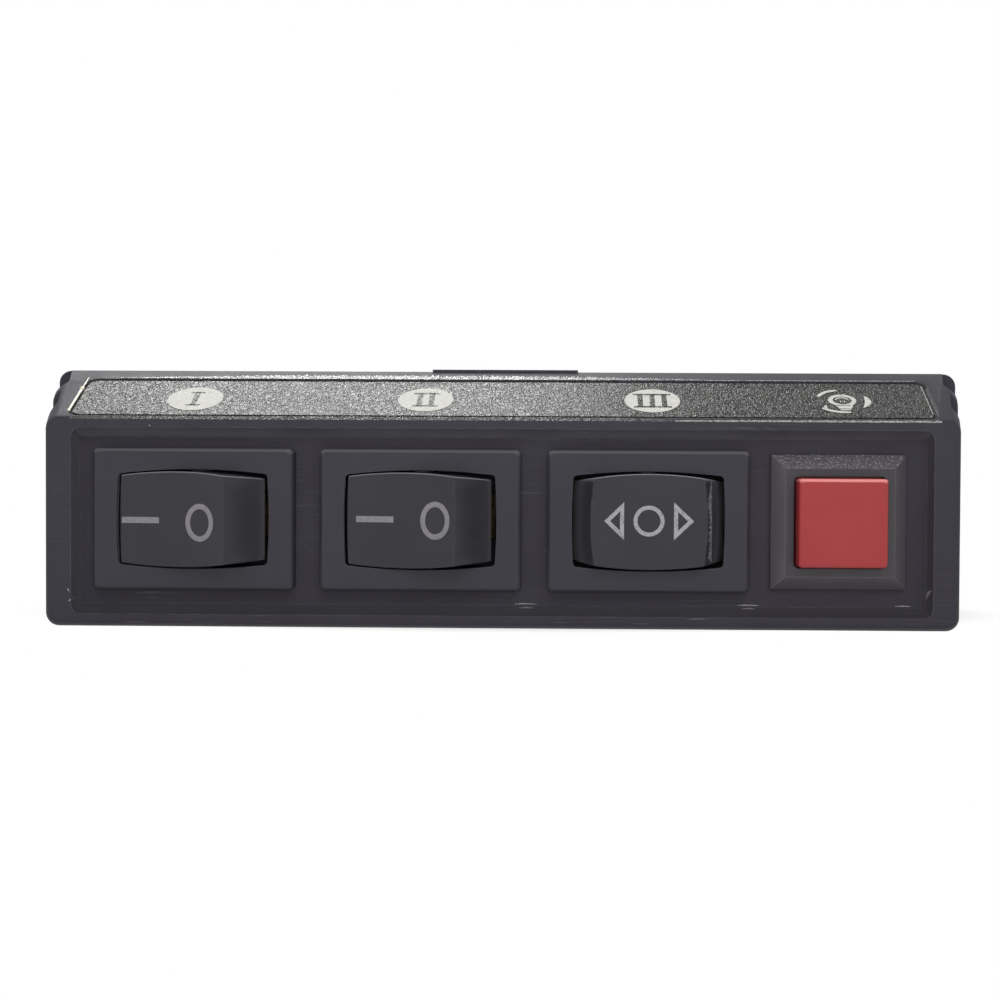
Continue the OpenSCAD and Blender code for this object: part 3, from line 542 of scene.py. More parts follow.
class Workshop:
    """Mesh helpers shared by the sub-assemblies, and the materials by slot.

    Before an unclamped round, edges shorter than JOIN_SHARE of its width are joined away.
    """

    JOIN_SHARE = 0.3
    materials: dict[Slot, bpy.types.Material] = {}

    @classmethod
    def open(cls) -> None:
        """Build every slot's finish once."""
        cls.materials = {slot: finish.material() for slot, finish in FINISHES.items()}

    @staticmethod
    def merged(node: bpy.types.Object, flat_angle: float = 0.6) -> BMesh:
        """Copy a construction piece's mesh with its loose triangles joined into faces.

        Args:
            node: The construction piece.
            flat_angle: Faces that meet at less than this many degrees become one.

        Returns:
            The joined copy.
        """
        bm = bmesh.new()
        bm.from_mesh(node.data)
        bmesh.ops.remove_doubles(bm, verts=bm.verts, dist=0.0005 * MM)
        bmesh.ops.dissolve_limit(bm, angle_limit=math.radians(flat_angle), verts=bm.verts, edges=bm.edges)
        return bm

    @classmethod
    def round_edges(cls, bm: BMesh, width: float, corner: float, segments: int, tight: bool) -> None:
        """Round the sharp edges of a closed mesh.

        Args:
            bm: The mesh.
            width: Width of the round in millimetres.
            corner: Edges sharper than this many degrees are rounded.
            segments: Faces across each round.
            tight: Whether no points are joined first and all rounds shrink to the shortest edge.
        """
        if not tight:
            bmesh.ops.dissolve_degenerate(bm, dist=cls.JOIN_SHARE * width * MM, edges=bm.edges)
        sharp = [e for e in bm.edges
                 if len(e.link_faces) == 2 and e.calc_face_angle(0.0) > math.radians(corner)]
        bmesh.ops.bevel(bm, geom=sharp, offset=width * MM, offset_type="OFFSET", segments=segments,
                        profile=0.5, affect="EDGES", material=-1, clamp_overlap=tight)

    @classmethod
    def piece(cls, bm: BMesh, name: str, slot: Slot, body: str,
              material: bpy.types.Material | None = None, smooth_angle: float = 35.0) -> bpy.types.Object:
        """Make a piece from a mesh, smooth its gentle edges and hang it on a body.

        Args:
            bm: The mesh in metres, which is freed.
            name: The piece's name.
            slot: The record's slot that it takes its finish from.
            body: The body that it rides on.
            material: Its material, or none for the slot's own.
            smooth_angle: Edges sharper than this many degrees stay sharp.

        Returns:
            The piece.
        """
        for face in bm.faces:
            face.smooth = True
        for edge in bm.edges:
            edge.smooth = (len(edge.link_faces) == 2
                           and edge.calc_face_angle(0.0) < math.radians(smooth_angle))
        mesh = bpy.data.meshes.new(name)
        bm.to_mesh(mesh)
        bm.free()
        made = bpy.data.objects.new(name, mesh)
        bpy.context.scene.collection.objects.link(made)
        mesh.materials.append(material or cls.materials[slot])
        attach(made, body)
        log.info("%s: %d faces, rides on %s", name, len(mesh.polygons), body)
        return made

    @classmethod
    def softened(cls, node: str, slot: Slot, body: str, width: float, segments: int = 3,
                 corner: float = 32.0, tight: bool = False) -> bpy.types.Object:
        """Stand a copy with rounded edges in the place of a construction piece.

        Args:
            node: The construction piece.
            slot: Its slot.
            body: The body that it rides on.
            width: Width of the rounds in millimetres.
            segments: Faces across each round.
            corner: Edges sharper than this many degrees are rounded.
            tight: Whether all rounds shrink to the mesh's shortest edge.

        Returns:
            The new piece.
        """
        bm = cls.merged(bpy.data.objects[node])
        cls.round_edges(bm, width, corner, segments, tight)
        made = cls.piece(bm, node + "_moulding", slot, body)
        shading = made.modifiers.new("shading", "WEIGHTED_NORMAL")
        shading.keep_sharp = True
        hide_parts(node)
        return made


@dataclass(frozen=True)
class Arc:
    """A flat arc about the origin, in millimetres and degrees.

    Its ends lose the share taper of its width, which is stroke at its middle.
    """

    radius: float
    stroke: float
    start: float
    end: float
    taper: float
    steps: int = 20


def shift_flat(bm: BMesh, verts: list[BMVert], x: float, y: float) -> None:
    """Shift points of a flat drawing in its plane."""
    bmesh.ops.translate(bm, verts=verts, vec=(x, y, 0.0))


def turn_flat(bm: BMesh, verts: list[BMVert], degrees: float) -> None:
    """Turn points of a flat drawing about the origin."""
    bmesh.ops.rotate(bm, verts=verts, cent=ORIGIN, matrix=Matrix.Rotation(math.radians(degrees), 3, "Z"))


def flat_ring(bm: BMesh, outer: Pair, inner: Pair, steps: int = 48) -> None:
    """Add a flat oval ring round the origin of the XY plane.

    Args:
        bm: Where it goes.
        outer, inner: Half width and half height of its outer and inner edge.
        steps: Points round each edge.
    """
    loops = []
    for half_w, half_h in (outer, inner):
        made = bmesh.ops.create_circle(bm, cap_ends=False, radius=1.0, segments=steps)["verts"]
        bmesh.ops.scale(bm, vec=(half_w, half_h, 1.0), verts=made)
        loops.append(made)
    edges = {e for loop in loops for v in loop for e in v.link_edges}
    bmesh.ops.bridge_loops(bm, edges=list(edges))


def flat_bar(bm: BMesh, width: float, height: float, cuts: int = 12) -> list[BMVert]:
    """Add a flat bar about the origin of the XY plane.

    Args:
        bm: Where it goes.
        width, height: Its size.
        cuts: Faces along its width.

    Returns:
        Its points.
    """
    made = bmesh.ops.create_grid(bm, x_segments=cuts, y_segments=1, size=0.5)["verts"]
    bmesh.ops.scale(bm, vec=(width, height, 1.0), verts=made)
    return made


def flat_wedge(bm: BMesh, reach: float, height: float, stroke: float) -> None:
    """Draw the outline of a triangle whose tip points along +X in an empty mesh.

    Args:
        bm: The empty mesh.
        reach: Distance from its upright side to its tip.
        height: Length of its upright side.
        stroke: Width of the line.
    """
    made = bmesh.ops.create_circle(bm, cap_ends=True, radius=1.0, segments=3)["verts"]
    corners = ((0.0, height / 2), (0.0, -height / 2), (reach, 0.0))
    for vert, (x, y) in zip(made, corners):
        vert.co = (x, y, 0.0)
    bm.normal_update()
    middle = bm.faces[:]
    bmesh.ops.inset_region(bm, faces=middle, thickness=stroke, depth=0.0, use_even_offset=True,
                           use_boundary=True)
    bmesh.ops.delete(bm, geom=middle, context="FACES_ONLY")
    bmesh.ops.subdivide_edges(bm, edges=bm.edges[:], cuts=3, use_grid_fill=True)


def flat_arc(bm: BMesh, arc: Arc) -> None:
    """Add a flat arc about the origin of the XY plane.

    Args:
        bm: Where it goes.
        arc: Its sizes.
    """
    edge = [bm.verts.new((arc.radius + side * arc.stroke / 2, 0.0, 0.0)) for side in (-1, 1)]
    line = bm.edges.new(edge)
    turn_flat(bm, edge, arc.start)
    before = set(bm.verts) - set(edge)
    span = arc.end - arc.start
    bmesh.ops.spin(bm, geom=[*edge, line], cent=ORIGIN, axis=(0.0, 0.0, 1.0), dvec=ORIGIN,
                   angle=math.radians(span), steps=arc.steps, use_merge=False, use_duplicate=False)
    for vert in [v for v in bm.verts if v not in before]:
        along = (math.degrees(math.atan2(vert.co.y, vert.co.x)) - arc.start) % 360.0 / span
        thin = 1.0 - arc.taper * abs(2.0 * min(along, 1.0) - 1.0) ** 2
        length = vert.co.length
        vert.co *= (arc.radius + (length - arc.radius) * thin) / length


def flat_smear(bm: BMesh, stations: Stations, pitch: float, rough: float) -> list[BMVert]:
    """Add a flat ragged strip that starts on the X axis and reaches up from it.

    Args:
        bm: Where it goes.
        stations: Places along X with the strip's width there.
        pitch: Distance between its points.
        rough: How much of the width the ragged edge takes or adds, from 0 to 1.

    Returns:
        Its points.
    """
    start, end = stations[0][0], stations[-1][0]
    wave = 2.5 * pitch
    slack = 1e-6
    made = flat_bar(bm, end - start, 1.0, max(2, round((end - start) / pitch)))
    for vert in made:
        x = vert.co.x + (start + end) / 2
        (x0, w0), (x1, w1) = next(pair for pair in zip(stations, stations[1:]) if x <= pair[1][0] + slack)
        width = w0 + (w1 - w0) * (x - x0) / (x1 - x0)
        ragged = noise.noise(Vector((x / wave, start, width))) * rough
        vert.co = (x, width * (1 + ragged) if vert.co.y > 0 else 0.0, 0.0)
    return made


def bead(bm: BMesh, stations: Stations, sides: int = 10) -> None:
    """Add a closed bead along the Y axis.

    Args:
        bm: Where it goes.
        stations: Places along Y with the bead's radius there.
        sides: Faces round it.
    """
    first = bmesh.ops.create_circle(bm, cap_ends=True, radius=stations[0][1], segments=sides,
                                    matrix=Matrix.Rotation(math.radians(90), 4, "X"))["verts"]
    shift_flat(bm, first, 0.0, stations[0][0])
    ring = {e for v in first for e in v.link_edges}
    for (y0, r0), (y1, r1) in zip(stations, stations[1:]):
        grown = bmesh.ops.extrude_edge_only(bm, edges=list(ring))["geom"]
        verts = [g for g in grown if isinstance(g, BMVert)]
        ring = {g for g in grown if isinstance(g, bmesh.types.BMEdge)}
        bmesh.ops.scale(bm, verts=verts, vec=(r1 / r0, 1.0, r1 / r0))
        shift_flat(bm, verts, 0.0, y1 - y0)
    bmesh.ops.holes_fill(bm, edges=list(ring), sides=0)
    bmesh.ops.recalc_face_normals(bm, faces=bm.faces)


@dataclass
class SurfacePrint:
    """Marks laid on a surface: drawn flat, dropped on it and given the thickness of the ink."""

    ground: BVHTree
    frame: Matrix
    lift: float = 0.012
    thickness: float = 0.02
    drop_from: float = 30.0

    def lay(self, bm: BMesh, name: str, slot: Slot, body: str,
            material: bpy.types.Material) -> bpy.types.Object:
        """Drop a flat drawing on the ground along the frame's Z axis.

        Args:
            bm: The drawing, in millimetres in the frame's XY plane.
            name: The new piece's name.
            slot: The record's slot that it takes its finish from.
            body: The body that it rides on.
            material: The ink.

        Returns:
            The new piece.
        """
        up = (self.frame.to_3x3() @ Vector((0.0, 0.0, 1.0))).normalized()
        for vert in bm.verts:
            start = self.frame @ Vector((vert.co.x * MM, vert.co.y * MM, self.drop_from * MM))
            hit, *_ = self.ground.ray_cast(start, -up)
            if hit is None:
                hit, *_ = self.ground.find_nearest(start - up * self.drop_from * MM)
            vert.co = hit + up * self.lift * MM
        bmesh.ops.recalc_face_normals(bm, faces=bm.faces)
        if sum((f.normal for f in bm.faces), Vector()).dot(up) < 0:
            bmesh.ops.reverse_faces(bm, faces=bm.faces)
        top = bmesh.ops.extrude_face_region(bm, geom=bm.faces[:])["geom"]
        raised = [v for v in top if isinstance(v, BMVert)]
        bmesh.ops.translate(bm, verts=raised, vec=up * self.thickness * MM)
        bmesh.ops.recalc_face_normals(bm, faces=bm.faces)
        return Workshop.piece(bm, name, slot, body, material, smooth_angle=50.0)


def tree_of(name: str) -> BVHTree:
    """Make a search tree over a piece's faces.

    Args:
        name: The piece's name.

    Returns:
        The tree.
    """
    bm = bmesh.new()
    bm.from_mesh(bpy.data.objects[name].data)
    tree = BVHTree.FromBMesh(bm)
    bm.free()
    return tree


class Marks(Enum):
    """Signs moulded on a rocker."""

    ON_OFF = "bar and circle"
    THREE_WAY = "triangles and circle"


@dataclass
class RockerSwitch:
    """A rocker in its bezel: softened mouldings, the signs on its face and a painted highlight along its
    ridge.

    Places on the face are measured from the rocker's pivot, with X along its length.
    """

    number: int
    marks: Marks
    ink: Ink
    case_round: float = 0.09
    cap_round: float = 0.15
    cap_corner: float = 55.0
    pivot_behind: float = 4.5
    on_off_tilt: float = 17.0
    bar: Pair = (4.4, 0.64)
    bar_at: Pair = (-3.96, -0.12)
    oval: Pair = (1.71, 1.96)
    oval_stroke: float = 0.56
    oval_at: Pair = (3.03, -0.3)
    wedge: Pair = (2.05, 3.92)
    wedge_at: Pair = (2.57, 0.1)
    circle_r: float = 1.6
    line: float = 0.42
    # Painted highlight along the ridge: where it lies, its widths along it, and its raggedness.
    ridge_highlight_at: float | None = None
    ridge_highlight: Stations = ((-4.2, 0.1), (-3.6, 0.4), (0.0, 0.25), (2.4, 0.42), (4.2, 0.12))
    ridge_highlight_pitch: float = 0.1
    ridge_highlight_rough: float = 0.9

    @property
    def body(self) -> str:
        """The body that the rocker turns with."""
        return f"rocker_{self.number}"

    @property
    def name(self) -> str:
        """The start of the names of this switch's construction pieces."""
        return f"switch_{self.number}"

    def face_frame(self) -> Matrix:
        """Find the rocker's face.

        Returns:
            Its frame: X along its length, Y up, Z out of the face.
        """
        low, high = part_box(f"{self.name}_case")
        pivot = Vector(((low.x + high.x) / 2, low.y + self.pivot_behind * MM, (low.z + high.z) / 2))
        tilt = -self.on_off_tilt if self.marks is Marks.ON_OFF else 0.0
        turn = Matrix.Rotation(math.radians(tilt), 4, "Z") @ Matrix.Rotation(math.radians(90), 4, "X")
        return Matrix.Translation(pivot) @ turn

    def draw_on_off(self) -> list[BMesh]:
        """Return the flat drawings of a bar and an oval ring."""
        bar, ring = bmesh.new(), bmesh.new()
        shift_flat(bar, flat_bar(bar, *self.bar), *self.bar_at)
        half_w, half_h = self.oval
        flat_ring(ring, self.oval, (half_w - self.oval_stroke, half_h - self.oval_stroke))
        shift_flat(ring, ring.verts, *self.oval_at)
        return [bar, ring]

    def draw_three_way(self) -> list[BMesh]:
        """Return the flat drawings of two triangles that point outwards and a circle between them."""
        drawings = []
        start, up = self.wedge_at
        for side, turned in ((-1, 180.0), (1, 0.0)):
            wedge = bmesh.new()
            flat_wedge(wedge, *self.wedge, self.line)
            turn_flat(wedge, wedge.verts, turned)
            shift_flat(wedge, wedge.verts, side * start, up)
            drawings.append(wedge)
        ring = bmesh.new()
        flat_ring(ring, (self.circle_r,) * 2, (self.circle_r - self.line,) * 2)
        shift_flat(ring, ring.verts, 0.0, up)
        return [*drawings, ring]

    def lay_ridge_highlight(self, printer: SurfacePrint) -> None:
        """Lay the painted highlight along the rocker's ridge: a pale, spotty line.

        Args:
            printer: What lays marks on the rocker's face.
        """
        drawing = bmesh.new()
        flat_smear(drawing, self.ridge_highlight, self.ridge_highlight_pitch, self.ridge_highlight_rough)
        turn_flat(drawing, drawing.verts, 90.0)
        shift_flat(drawing, drawing.verts, self.ridge_highlight_at, 0.0)
        printer.lay(drawing, f"{self.name}_chips", Slot.ROCKER, self.body, PAINTED_RIDGE_HIGHLIGHT.material())

    def build(self) -> None:
        """Build the switch's visible mouldings and its signs."""
        Workshop.softened(f"{self.name}_case", Slot.BEZEL, "housing", self.case_round, 2)
        moulding = Workshop.softened(f"{self.name}_rocker", Slot.ROCKER, self.body, self.cap_round,
                                     corner=self.cap_corner)
        printer = SurfacePrint(tree_of(moulding.name), self.face_frame())
        ink = self.ink.material()
        drawings = self.draw_on_off() if self.marks is Marks.ON_OFF else self.draw_three_way()
        for number, drawing in enumerate(drawings, 1):
            printer.lay(drawing, f"{self.name}_sign_{number}", Slot.ROCKER, self.body, ink)
        if self.ridge_highlight_at is not None:
            self.lay_ridge_highlight(printer)


@dataclass
class PushButton:
    """The red button, its grained bezel and the return spring behind it.

    The field press is the frame's row of the joint that the button slides on. It is not used.
    """

    press: dict
    case_round: float = 0.1
    cap_round: float = 0.22

    def return_spring(self) -> None:
        """Stand a copy of the spring, with its own mesh, in the place of the stiff one."""
        spring = Workshop.piece(Workshop.merged(bpy.data.objects["button_spring"]), "button_spring_wire",
                                Slot.SPRING, "housing")
        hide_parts("button_spring")
        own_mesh(spring)

    def build(self) -> None:
        """Build the button's visible mouldings and its spring."""
        Workshop.softened("button_case", Slot.BUTTON_BEZEL, "housing", self.case_round, 2)
        Workshop.softened("button_cap", Slot.RED_CAP, "button", self.cap_round)
        self.return_spring()


@dataclass(frozen=True)
class RimGlint:
    """A painted glint on the front rim, a small bright spot of light: where it starts, its length, and its
    turn in degrees.
    """

    x: float
    z: float
    length: float
    turn: float = 0.0


@dataclass
class Housing:
    """The front housing and the rear cover, and the painted glints on the front rim.

    Their rounds shrink to the shortest edge of each mesh, so the edges stay nearly as constructed.
    """

    front_round: float = 0.2
    cover_round: float = 0.25
    glint_w: float = 0.1
    glint_tip: float = 0.02
    glint_pitch: float = 0.1
    glint_rough: float = 0.8
    # Painted glints on the front rim, where its edges catch the light.
    rim_glints: tuple[RimGlint, ...] = (
        RimGlint(-45.3, 3.95, 0.5, -55.0), RimGlint(-45.1, 2.6, 0.5, 40.0), RimGlint(1.4, 2.42, 2.4),
        RimGlint(1.9, 2.05, 1.6), RimGlint(24.8, 2.42, 2.3), RimGlint(25.3, 2.1, 1.4), RimGlint(41.3, 2.42, 1.7),
        RimGlint(44.6, 3.2, 1.1, 80.0), RimGlint(-36.7, 20.95, 0.2))

    def lay_rim_glints(self, front: str) -> None:
        """Lay the painted glints on the front rim.

        Args:
            front: Name of the front moulding.
        """
        marks = bmesh.new()
        for glint in self.rim_glints:
            stations = ((0.0, self.glint_tip), (glint.length * 0.3, self.glint_w),
                        (glint.length * 0.7, self.glint_w), (glint.length, self.glint_tip))
            made = flat_smear(marks, stations, self.glint_pitch, self.glint_rough)
            turn = Matrix.Rotation(math.radians(glint.turn), 4, "Z")
            bmesh.ops.transform(marks, verts=made, matrix=Matrix.Translation((glint.x, glint.z, 0.0)) @ turn)
        low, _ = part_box("front_housing")
        facing = Matrix.Translation((0.0, low.y, 0.0)) @ Matrix.Rotation(math.radians(90), 4, "X")
        printer = SurfacePrint(tree_of(front), facing, lift=0.003, thickness=0.008)
        printer.lay(marks, "housing_painted_glints", Slot.HOUSING, "housing", PAINTED_RIM_GLINT.material())

    def build(self) -> None:
        """Build the two mouldings and the painted glints."""
        front = Workshop.softened("front_housing", Slot.HOUSING, "housing", self.front_round, tight=True)
        Workshop.softened("rear_cover", Slot.HOUSING, "housing", self.cover_round, tight=True)
        self.lay_rim_glints(front.name)


@dataclass(frozen=True)
class BeaconSign:
    """The sign of a turning beacon: lens, lamp, foot, three arrows of light and a spur.

    Sizes are widths and heights, and places are those of the middle.
    """

    lens_r: float = 1.49
    lens_bore_r: float = 0.99
    lamp: Arc = Arc(0.68, 0.24, 10.0, 170.0, 0.7)
    leg: Pair = (0.12, 0.36)
    leg_at: Pair = (0.2, -0.3)
    foot: Pair = (1.9, 0.9)
    foot_at: Pair = (0.08, -1.62)
    foot_taper: float = 0.68
    sole: Pair = (1.1, 0.28)
    sole_at: Pair = (0.08, -2.36)
    arrows: tuple[Arc, ...] = (Arc(2.6, 0.46, 95.0, 158.0, 0.3), Arc(3.0, 0.46, 220.0, 280.0, 0.3),
                               Arc(2.7, 0.66, -42.0, 24.0, 0.85))
    spur: Pair = (0.3, 0.75)
    spur_at: Pair = (-1.95, -1.72)

    def draw(self) -> BMesh:
        """Return the flat drawing."""
        bm = bmesh.new()
        flat_ring(bm, (self.lens_r,) * 2, (self.lens_bore_r,) * 2)
        flat_arc(bm, self.lamp)
        leg_x, leg_y = self.leg_at
        for side in (-1, 1):
            shift_flat(bm, flat_bar(bm, *self.leg, 1), side * leg_x, leg_y)
        foot = flat_bar(bm, *self.foot, 1)
        for vert in foot:
            if vert.co.y < 0:
                vert.co.x *= self.foot_taper
        shift_flat(bm, foot, *self.foot_at)
        shift_flat(bm, flat_bar(bm, *self.sole, 1), *self.sole_at)
        for arrow in self.arrows:
            flat_arc(bm, arrow)
        shift_flat(bm, flat_bar(bm, *self.spur, 1), *self.spur_at)
        return bm


@dataclass(frozen=True)
class Strip:
    """A painted highlight strip along the label's seat, at its rear or front edge, as a wide lip or a thin
    line.
    """

    name: str
    stations: Stations
    rear: bool
    lip: bool
    rough: float = 0.55


@dataclass
class LabelPrints:
    """The numbered discs and the beacon sign on the sloped label, and the painted highlights and glue round
    it.
    """

    disc_r: float = 2.95
    disc_at: Triple = (-32.77, -8.19, 15.86)
    disc_up: float = 4.0
    numeral_h: float = 3.5
    numeral_lift: float = 0.035
    numeral_t: float = 0.012
    stem_w: float = 0.56
    stem_pitch: float = 1.27
    serif_h: float = 0.34
    serif_reach: float = 0.46
    beacon_at: Pair = (36.0, 4.3)
    edge_round: float = 0.08
    groove: float = 0.4
    groove_past: float = 0.05
    seat_front: float = 0.95
    seat_inside: float = 0.02
    strip_lift: float = 0.004
    strip_t: float = 0.05
    strip_pitch: float = 0.12
    strips: tuple[Strip, ...] = (
        Strip("label_highlight_lip_rear", ((-42.0, 0.1), (-34.0, 0.5), (-24.0, 0.9), (2.0, 0.9), (14.0, 0.6),
                                 (21.9, 0.2)), rear=True, lip=True),
        Strip("label_highlight_lip_front", ((-45.0, 0.2), (-36.0, 0.4), (-15.0, 0.46), (6.0, 0.46), (12.0, 0.36),
                                  (17.9, 0.15)), rear=False, lip=True, rough=0.15),
        Strip("label_highlight_line_rear", ((22.0, 0.1), (44.6, 0.11)), rear=True, lip=False),
        Strip("label_highlight_line_front", ((18.0, 0.12), (28.0, 0.15), (45.6, 0.18)), rear=False, lip=False))
    side_line_w: float = 0.11
    side_line_t: float = 0.03
    side_line_pitch: float = 0.15
    side_line_rough: float = 0.5
    side_line_front: float = 0.9
    side_line_rear: float = 0.7
    rim_inside: float = 0.16
    glue_squash: float = 0.8
    glue_up: float = 0.03
    glue: Stations = ((0.75, 0.05), (0.85, 0.17), (1.05, 0.19), (1.25, 0.13), (3.5, 0.15), (5.2, 0.14),
                      (5.6, 0.2), (5.8, 0.17), (6.0, 0.11), (6.2, 0.22), (6.5, 0.27), (6.8, 0.2),
                      (7.0, 0.08), (8.2, 0.07), (9.4, 0.06), (9.5, 0.03))

    def frame(self) -> tuple[Matrix, float, float]:
        """Find the label's top face.

        Returns:
            Its frame, X along it and Y up the slope, half its length and its width in millimetres.
        """
        bm = Workshop.merged(bpy.data.objects["label_strip"])
        top = max(bm.faces, key=lambda f: f.calc_area() * (f.normal.z > 0.5))
        up = top.normal.copy()
        along = Vector((1.0, 0.0, 0.0))
        across = up.cross(along)
        reach = [v.co.dot(across) for v in top.verts]
        half_l = max(abs(v.co.x) for v in top.verts)
        front = across * min(reach) + up * top.verts[0].co.dot(up)
        width = max(reach) - min(reach)
        bm.free()
        turn = Matrix((along, across, up)).transposed().to_4x4()
        return Matrix.Translation(front) @ turn, half_l / MM, width / MM

    def numeral(self, count: int) -> BMesh:
        """Draw a numeral of upright strokes with serifs.

        Args:
            count: How many strokes it has.

        Returns:
            The flat drawing.
        """
        bm = bmesh.new()
        for number in range(count):
            x = (number - (count - 1) / 2) * self.stem_pitch
            shift_flat(bm, flat_bar(bm, self.stem_w, self.numeral_h, 2), x, 0.0)
        span = (count - 1) * self.stem_pitch + self.stem_w + 2 * self.serif_reach
        for side in (-1, 1):
            shift_flat(bm, flat_bar(bm, span, self.serif_h), 0.0,
                       side * (self.numeral_h - self.serif_h) / 2)
        return bm

    def lay_painted_highlights(self, frame: Matrix, half_l: float, width: float) -> None:
        """Lay the painted highlights: bright ragged strips along the edges of the label and of its seat.

        Args:
            frame: The label's frame.
            half_l: Half its length in millimetres.
            width: Its width in millimetres.
        """
        # Painted highlights: bright strips that stand for the light on the edges of the label and of its
        # seat.
        lip, line = PAINTED_HIGHLIGHT_LIP.material(), PAINTED_HIGHLIGHT_LINE.material()
        seat = SurfacePrint(tree_of("front_housing_moulding"), frame, self.strip_lift, self.strip_t)
        at_rear = width + self.groove + self.groove_past
        at_front = -self.seat_front + self.seat_inside
        for strip in self.strips:
            drawing = bmesh.new()
            flat_smear(drawing, strip.stations, self.strip_pitch, strip.rough)
            shift_flat(drawing, drawing.verts, 0.0, at_rear if strip.rear else at_front)
            seat.lay(drawing, strip.name, Slot.HOUSING, "housing", lip if strip.lip else line)
        side_line = ((self.side_line_front, self.side_line_w),
                     (width - self.side_line_rear, self.side_line_w))
        for name, x, ground in (
                ("label_highlight_lip_right", half_l + self.groove + self.groove_past, "front_housing_moulding"),
                ("label_highlight_rim_right", half_l - self.rim_inside, "label_strip_moulding")):
            drawing = bmesh.new()
            flat_smear(drawing, side_line, self.side_line_pitch, self.side_line_rough)
            turn_flat(drawing, drawing.verts, 90.0)
            shift_flat(drawing, drawing.verts, x, 0.0)
            printer = SurfacePrint(tree_of(ground), frame, self.strip_lift, self.side_line_t)
            printer.lay(drawing, name, Slot.HOUSING, "housing", line)

    def glue_end(self, frame: Matrix, half_l: float) -> None:
        """Lay the dried glue in the gap at the label's left end.

        Args:
            frame: The label's frame.
            half_l: Half its length in millimetres.
        """
        glue = bmesh.new()
        bead(glue, self.glue)
        bmesh.ops.scale(glue, vec=(1.0, 1.0, self.glue_squash), verts=glue.verts)
        bmesh.ops.translate(glue, verts=glue.verts,
                            vec=(-half_l - self.groove + self.groove_past, 0.0, self.glue_up))
        bmesh.ops.transform(glue, verts=glue.verts, matrix=frame @ Matrix.Scale(MM, 4))
        Workshop.piece(glue, "label_glue", Slot.LABEL, "housing", DRIED_GLUE.material(), 60.0)

    def build(self) -> None:
        """Build the label, the painted highlights along its edges, its glue, and its prints."""
        frame, half_l, width = self.frame()
        Workshop.softened("label_strip", Slot.LABEL, "housing", self.edge_round, 2)
        self.lay_painted_highlights(frame, half_l, width)
        self.glue_end(frame, half_l)
        ground = tree_of("label_strip")
        white = LABEL_WHITE.material()
        film = Workshop.materials[Slot.LABEL]
        for count, x in enumerate(self.disc_at, 1):
            place = frame @ Matrix.Translation((x * MM, self.disc_up * MM, 0.0))
            disc = bmesh.new()
            bmesh.ops.create_circle(disc, cap_ends=True, radius=self.disc_r, segments=64)
            SurfacePrint(ground, place).lay(disc, f"label_disc_{count}", Slot.LABEL, "housing", white)
            printer = SurfacePrint(ground, place, self.numeral_lift, self.numeral_t)
            printer.lay(self.numeral(count), f"label_numeral_{count}", Slot.LABEL, "housing", film)
        x, up = self.beacon_at
        place = frame @ Matrix.Translation((x * MM, up * MM, 0.0))
        SurfacePrint(ground, place).lay(BeaconSign().draw(), "label_beacon", Slot.LABEL, "housing",
                                        LABEL_SIGN.material())


@dataclass(frozen=True)
class Lamp:
    """A rectangular lamp that the camera doesn't see, in millimetres and watts."""

    name: str
    place: Triple
    aim: Triple
    size: Pair
    power: float
    mirrored: bool = True

    def stand(self) -> None:
        """Add the lamp, turned to what it shines at."""
        data = bpy.data.lights.new(self.name, "AREA")
        data.shape = "RECTANGLE"
        data.size = self.size[0] * MM
        data.size_y = self.size[1] * MM
        data.energy = self.power
        made = bpy.data.objects.new(self.name, data)
        made.visible_camera = False
        made.visible_glossy = self.mirrored
        bpy.context.scene.collection.objects.link(made)
        start, target = Vector(self.place) * MM, Vector(self.aim) * MM
        turn = (target - start).to_track_quat("-Z", "Y").to_matrix().to_4x4()
        made.matrix_world = Matrix.Translation(start) @ turn


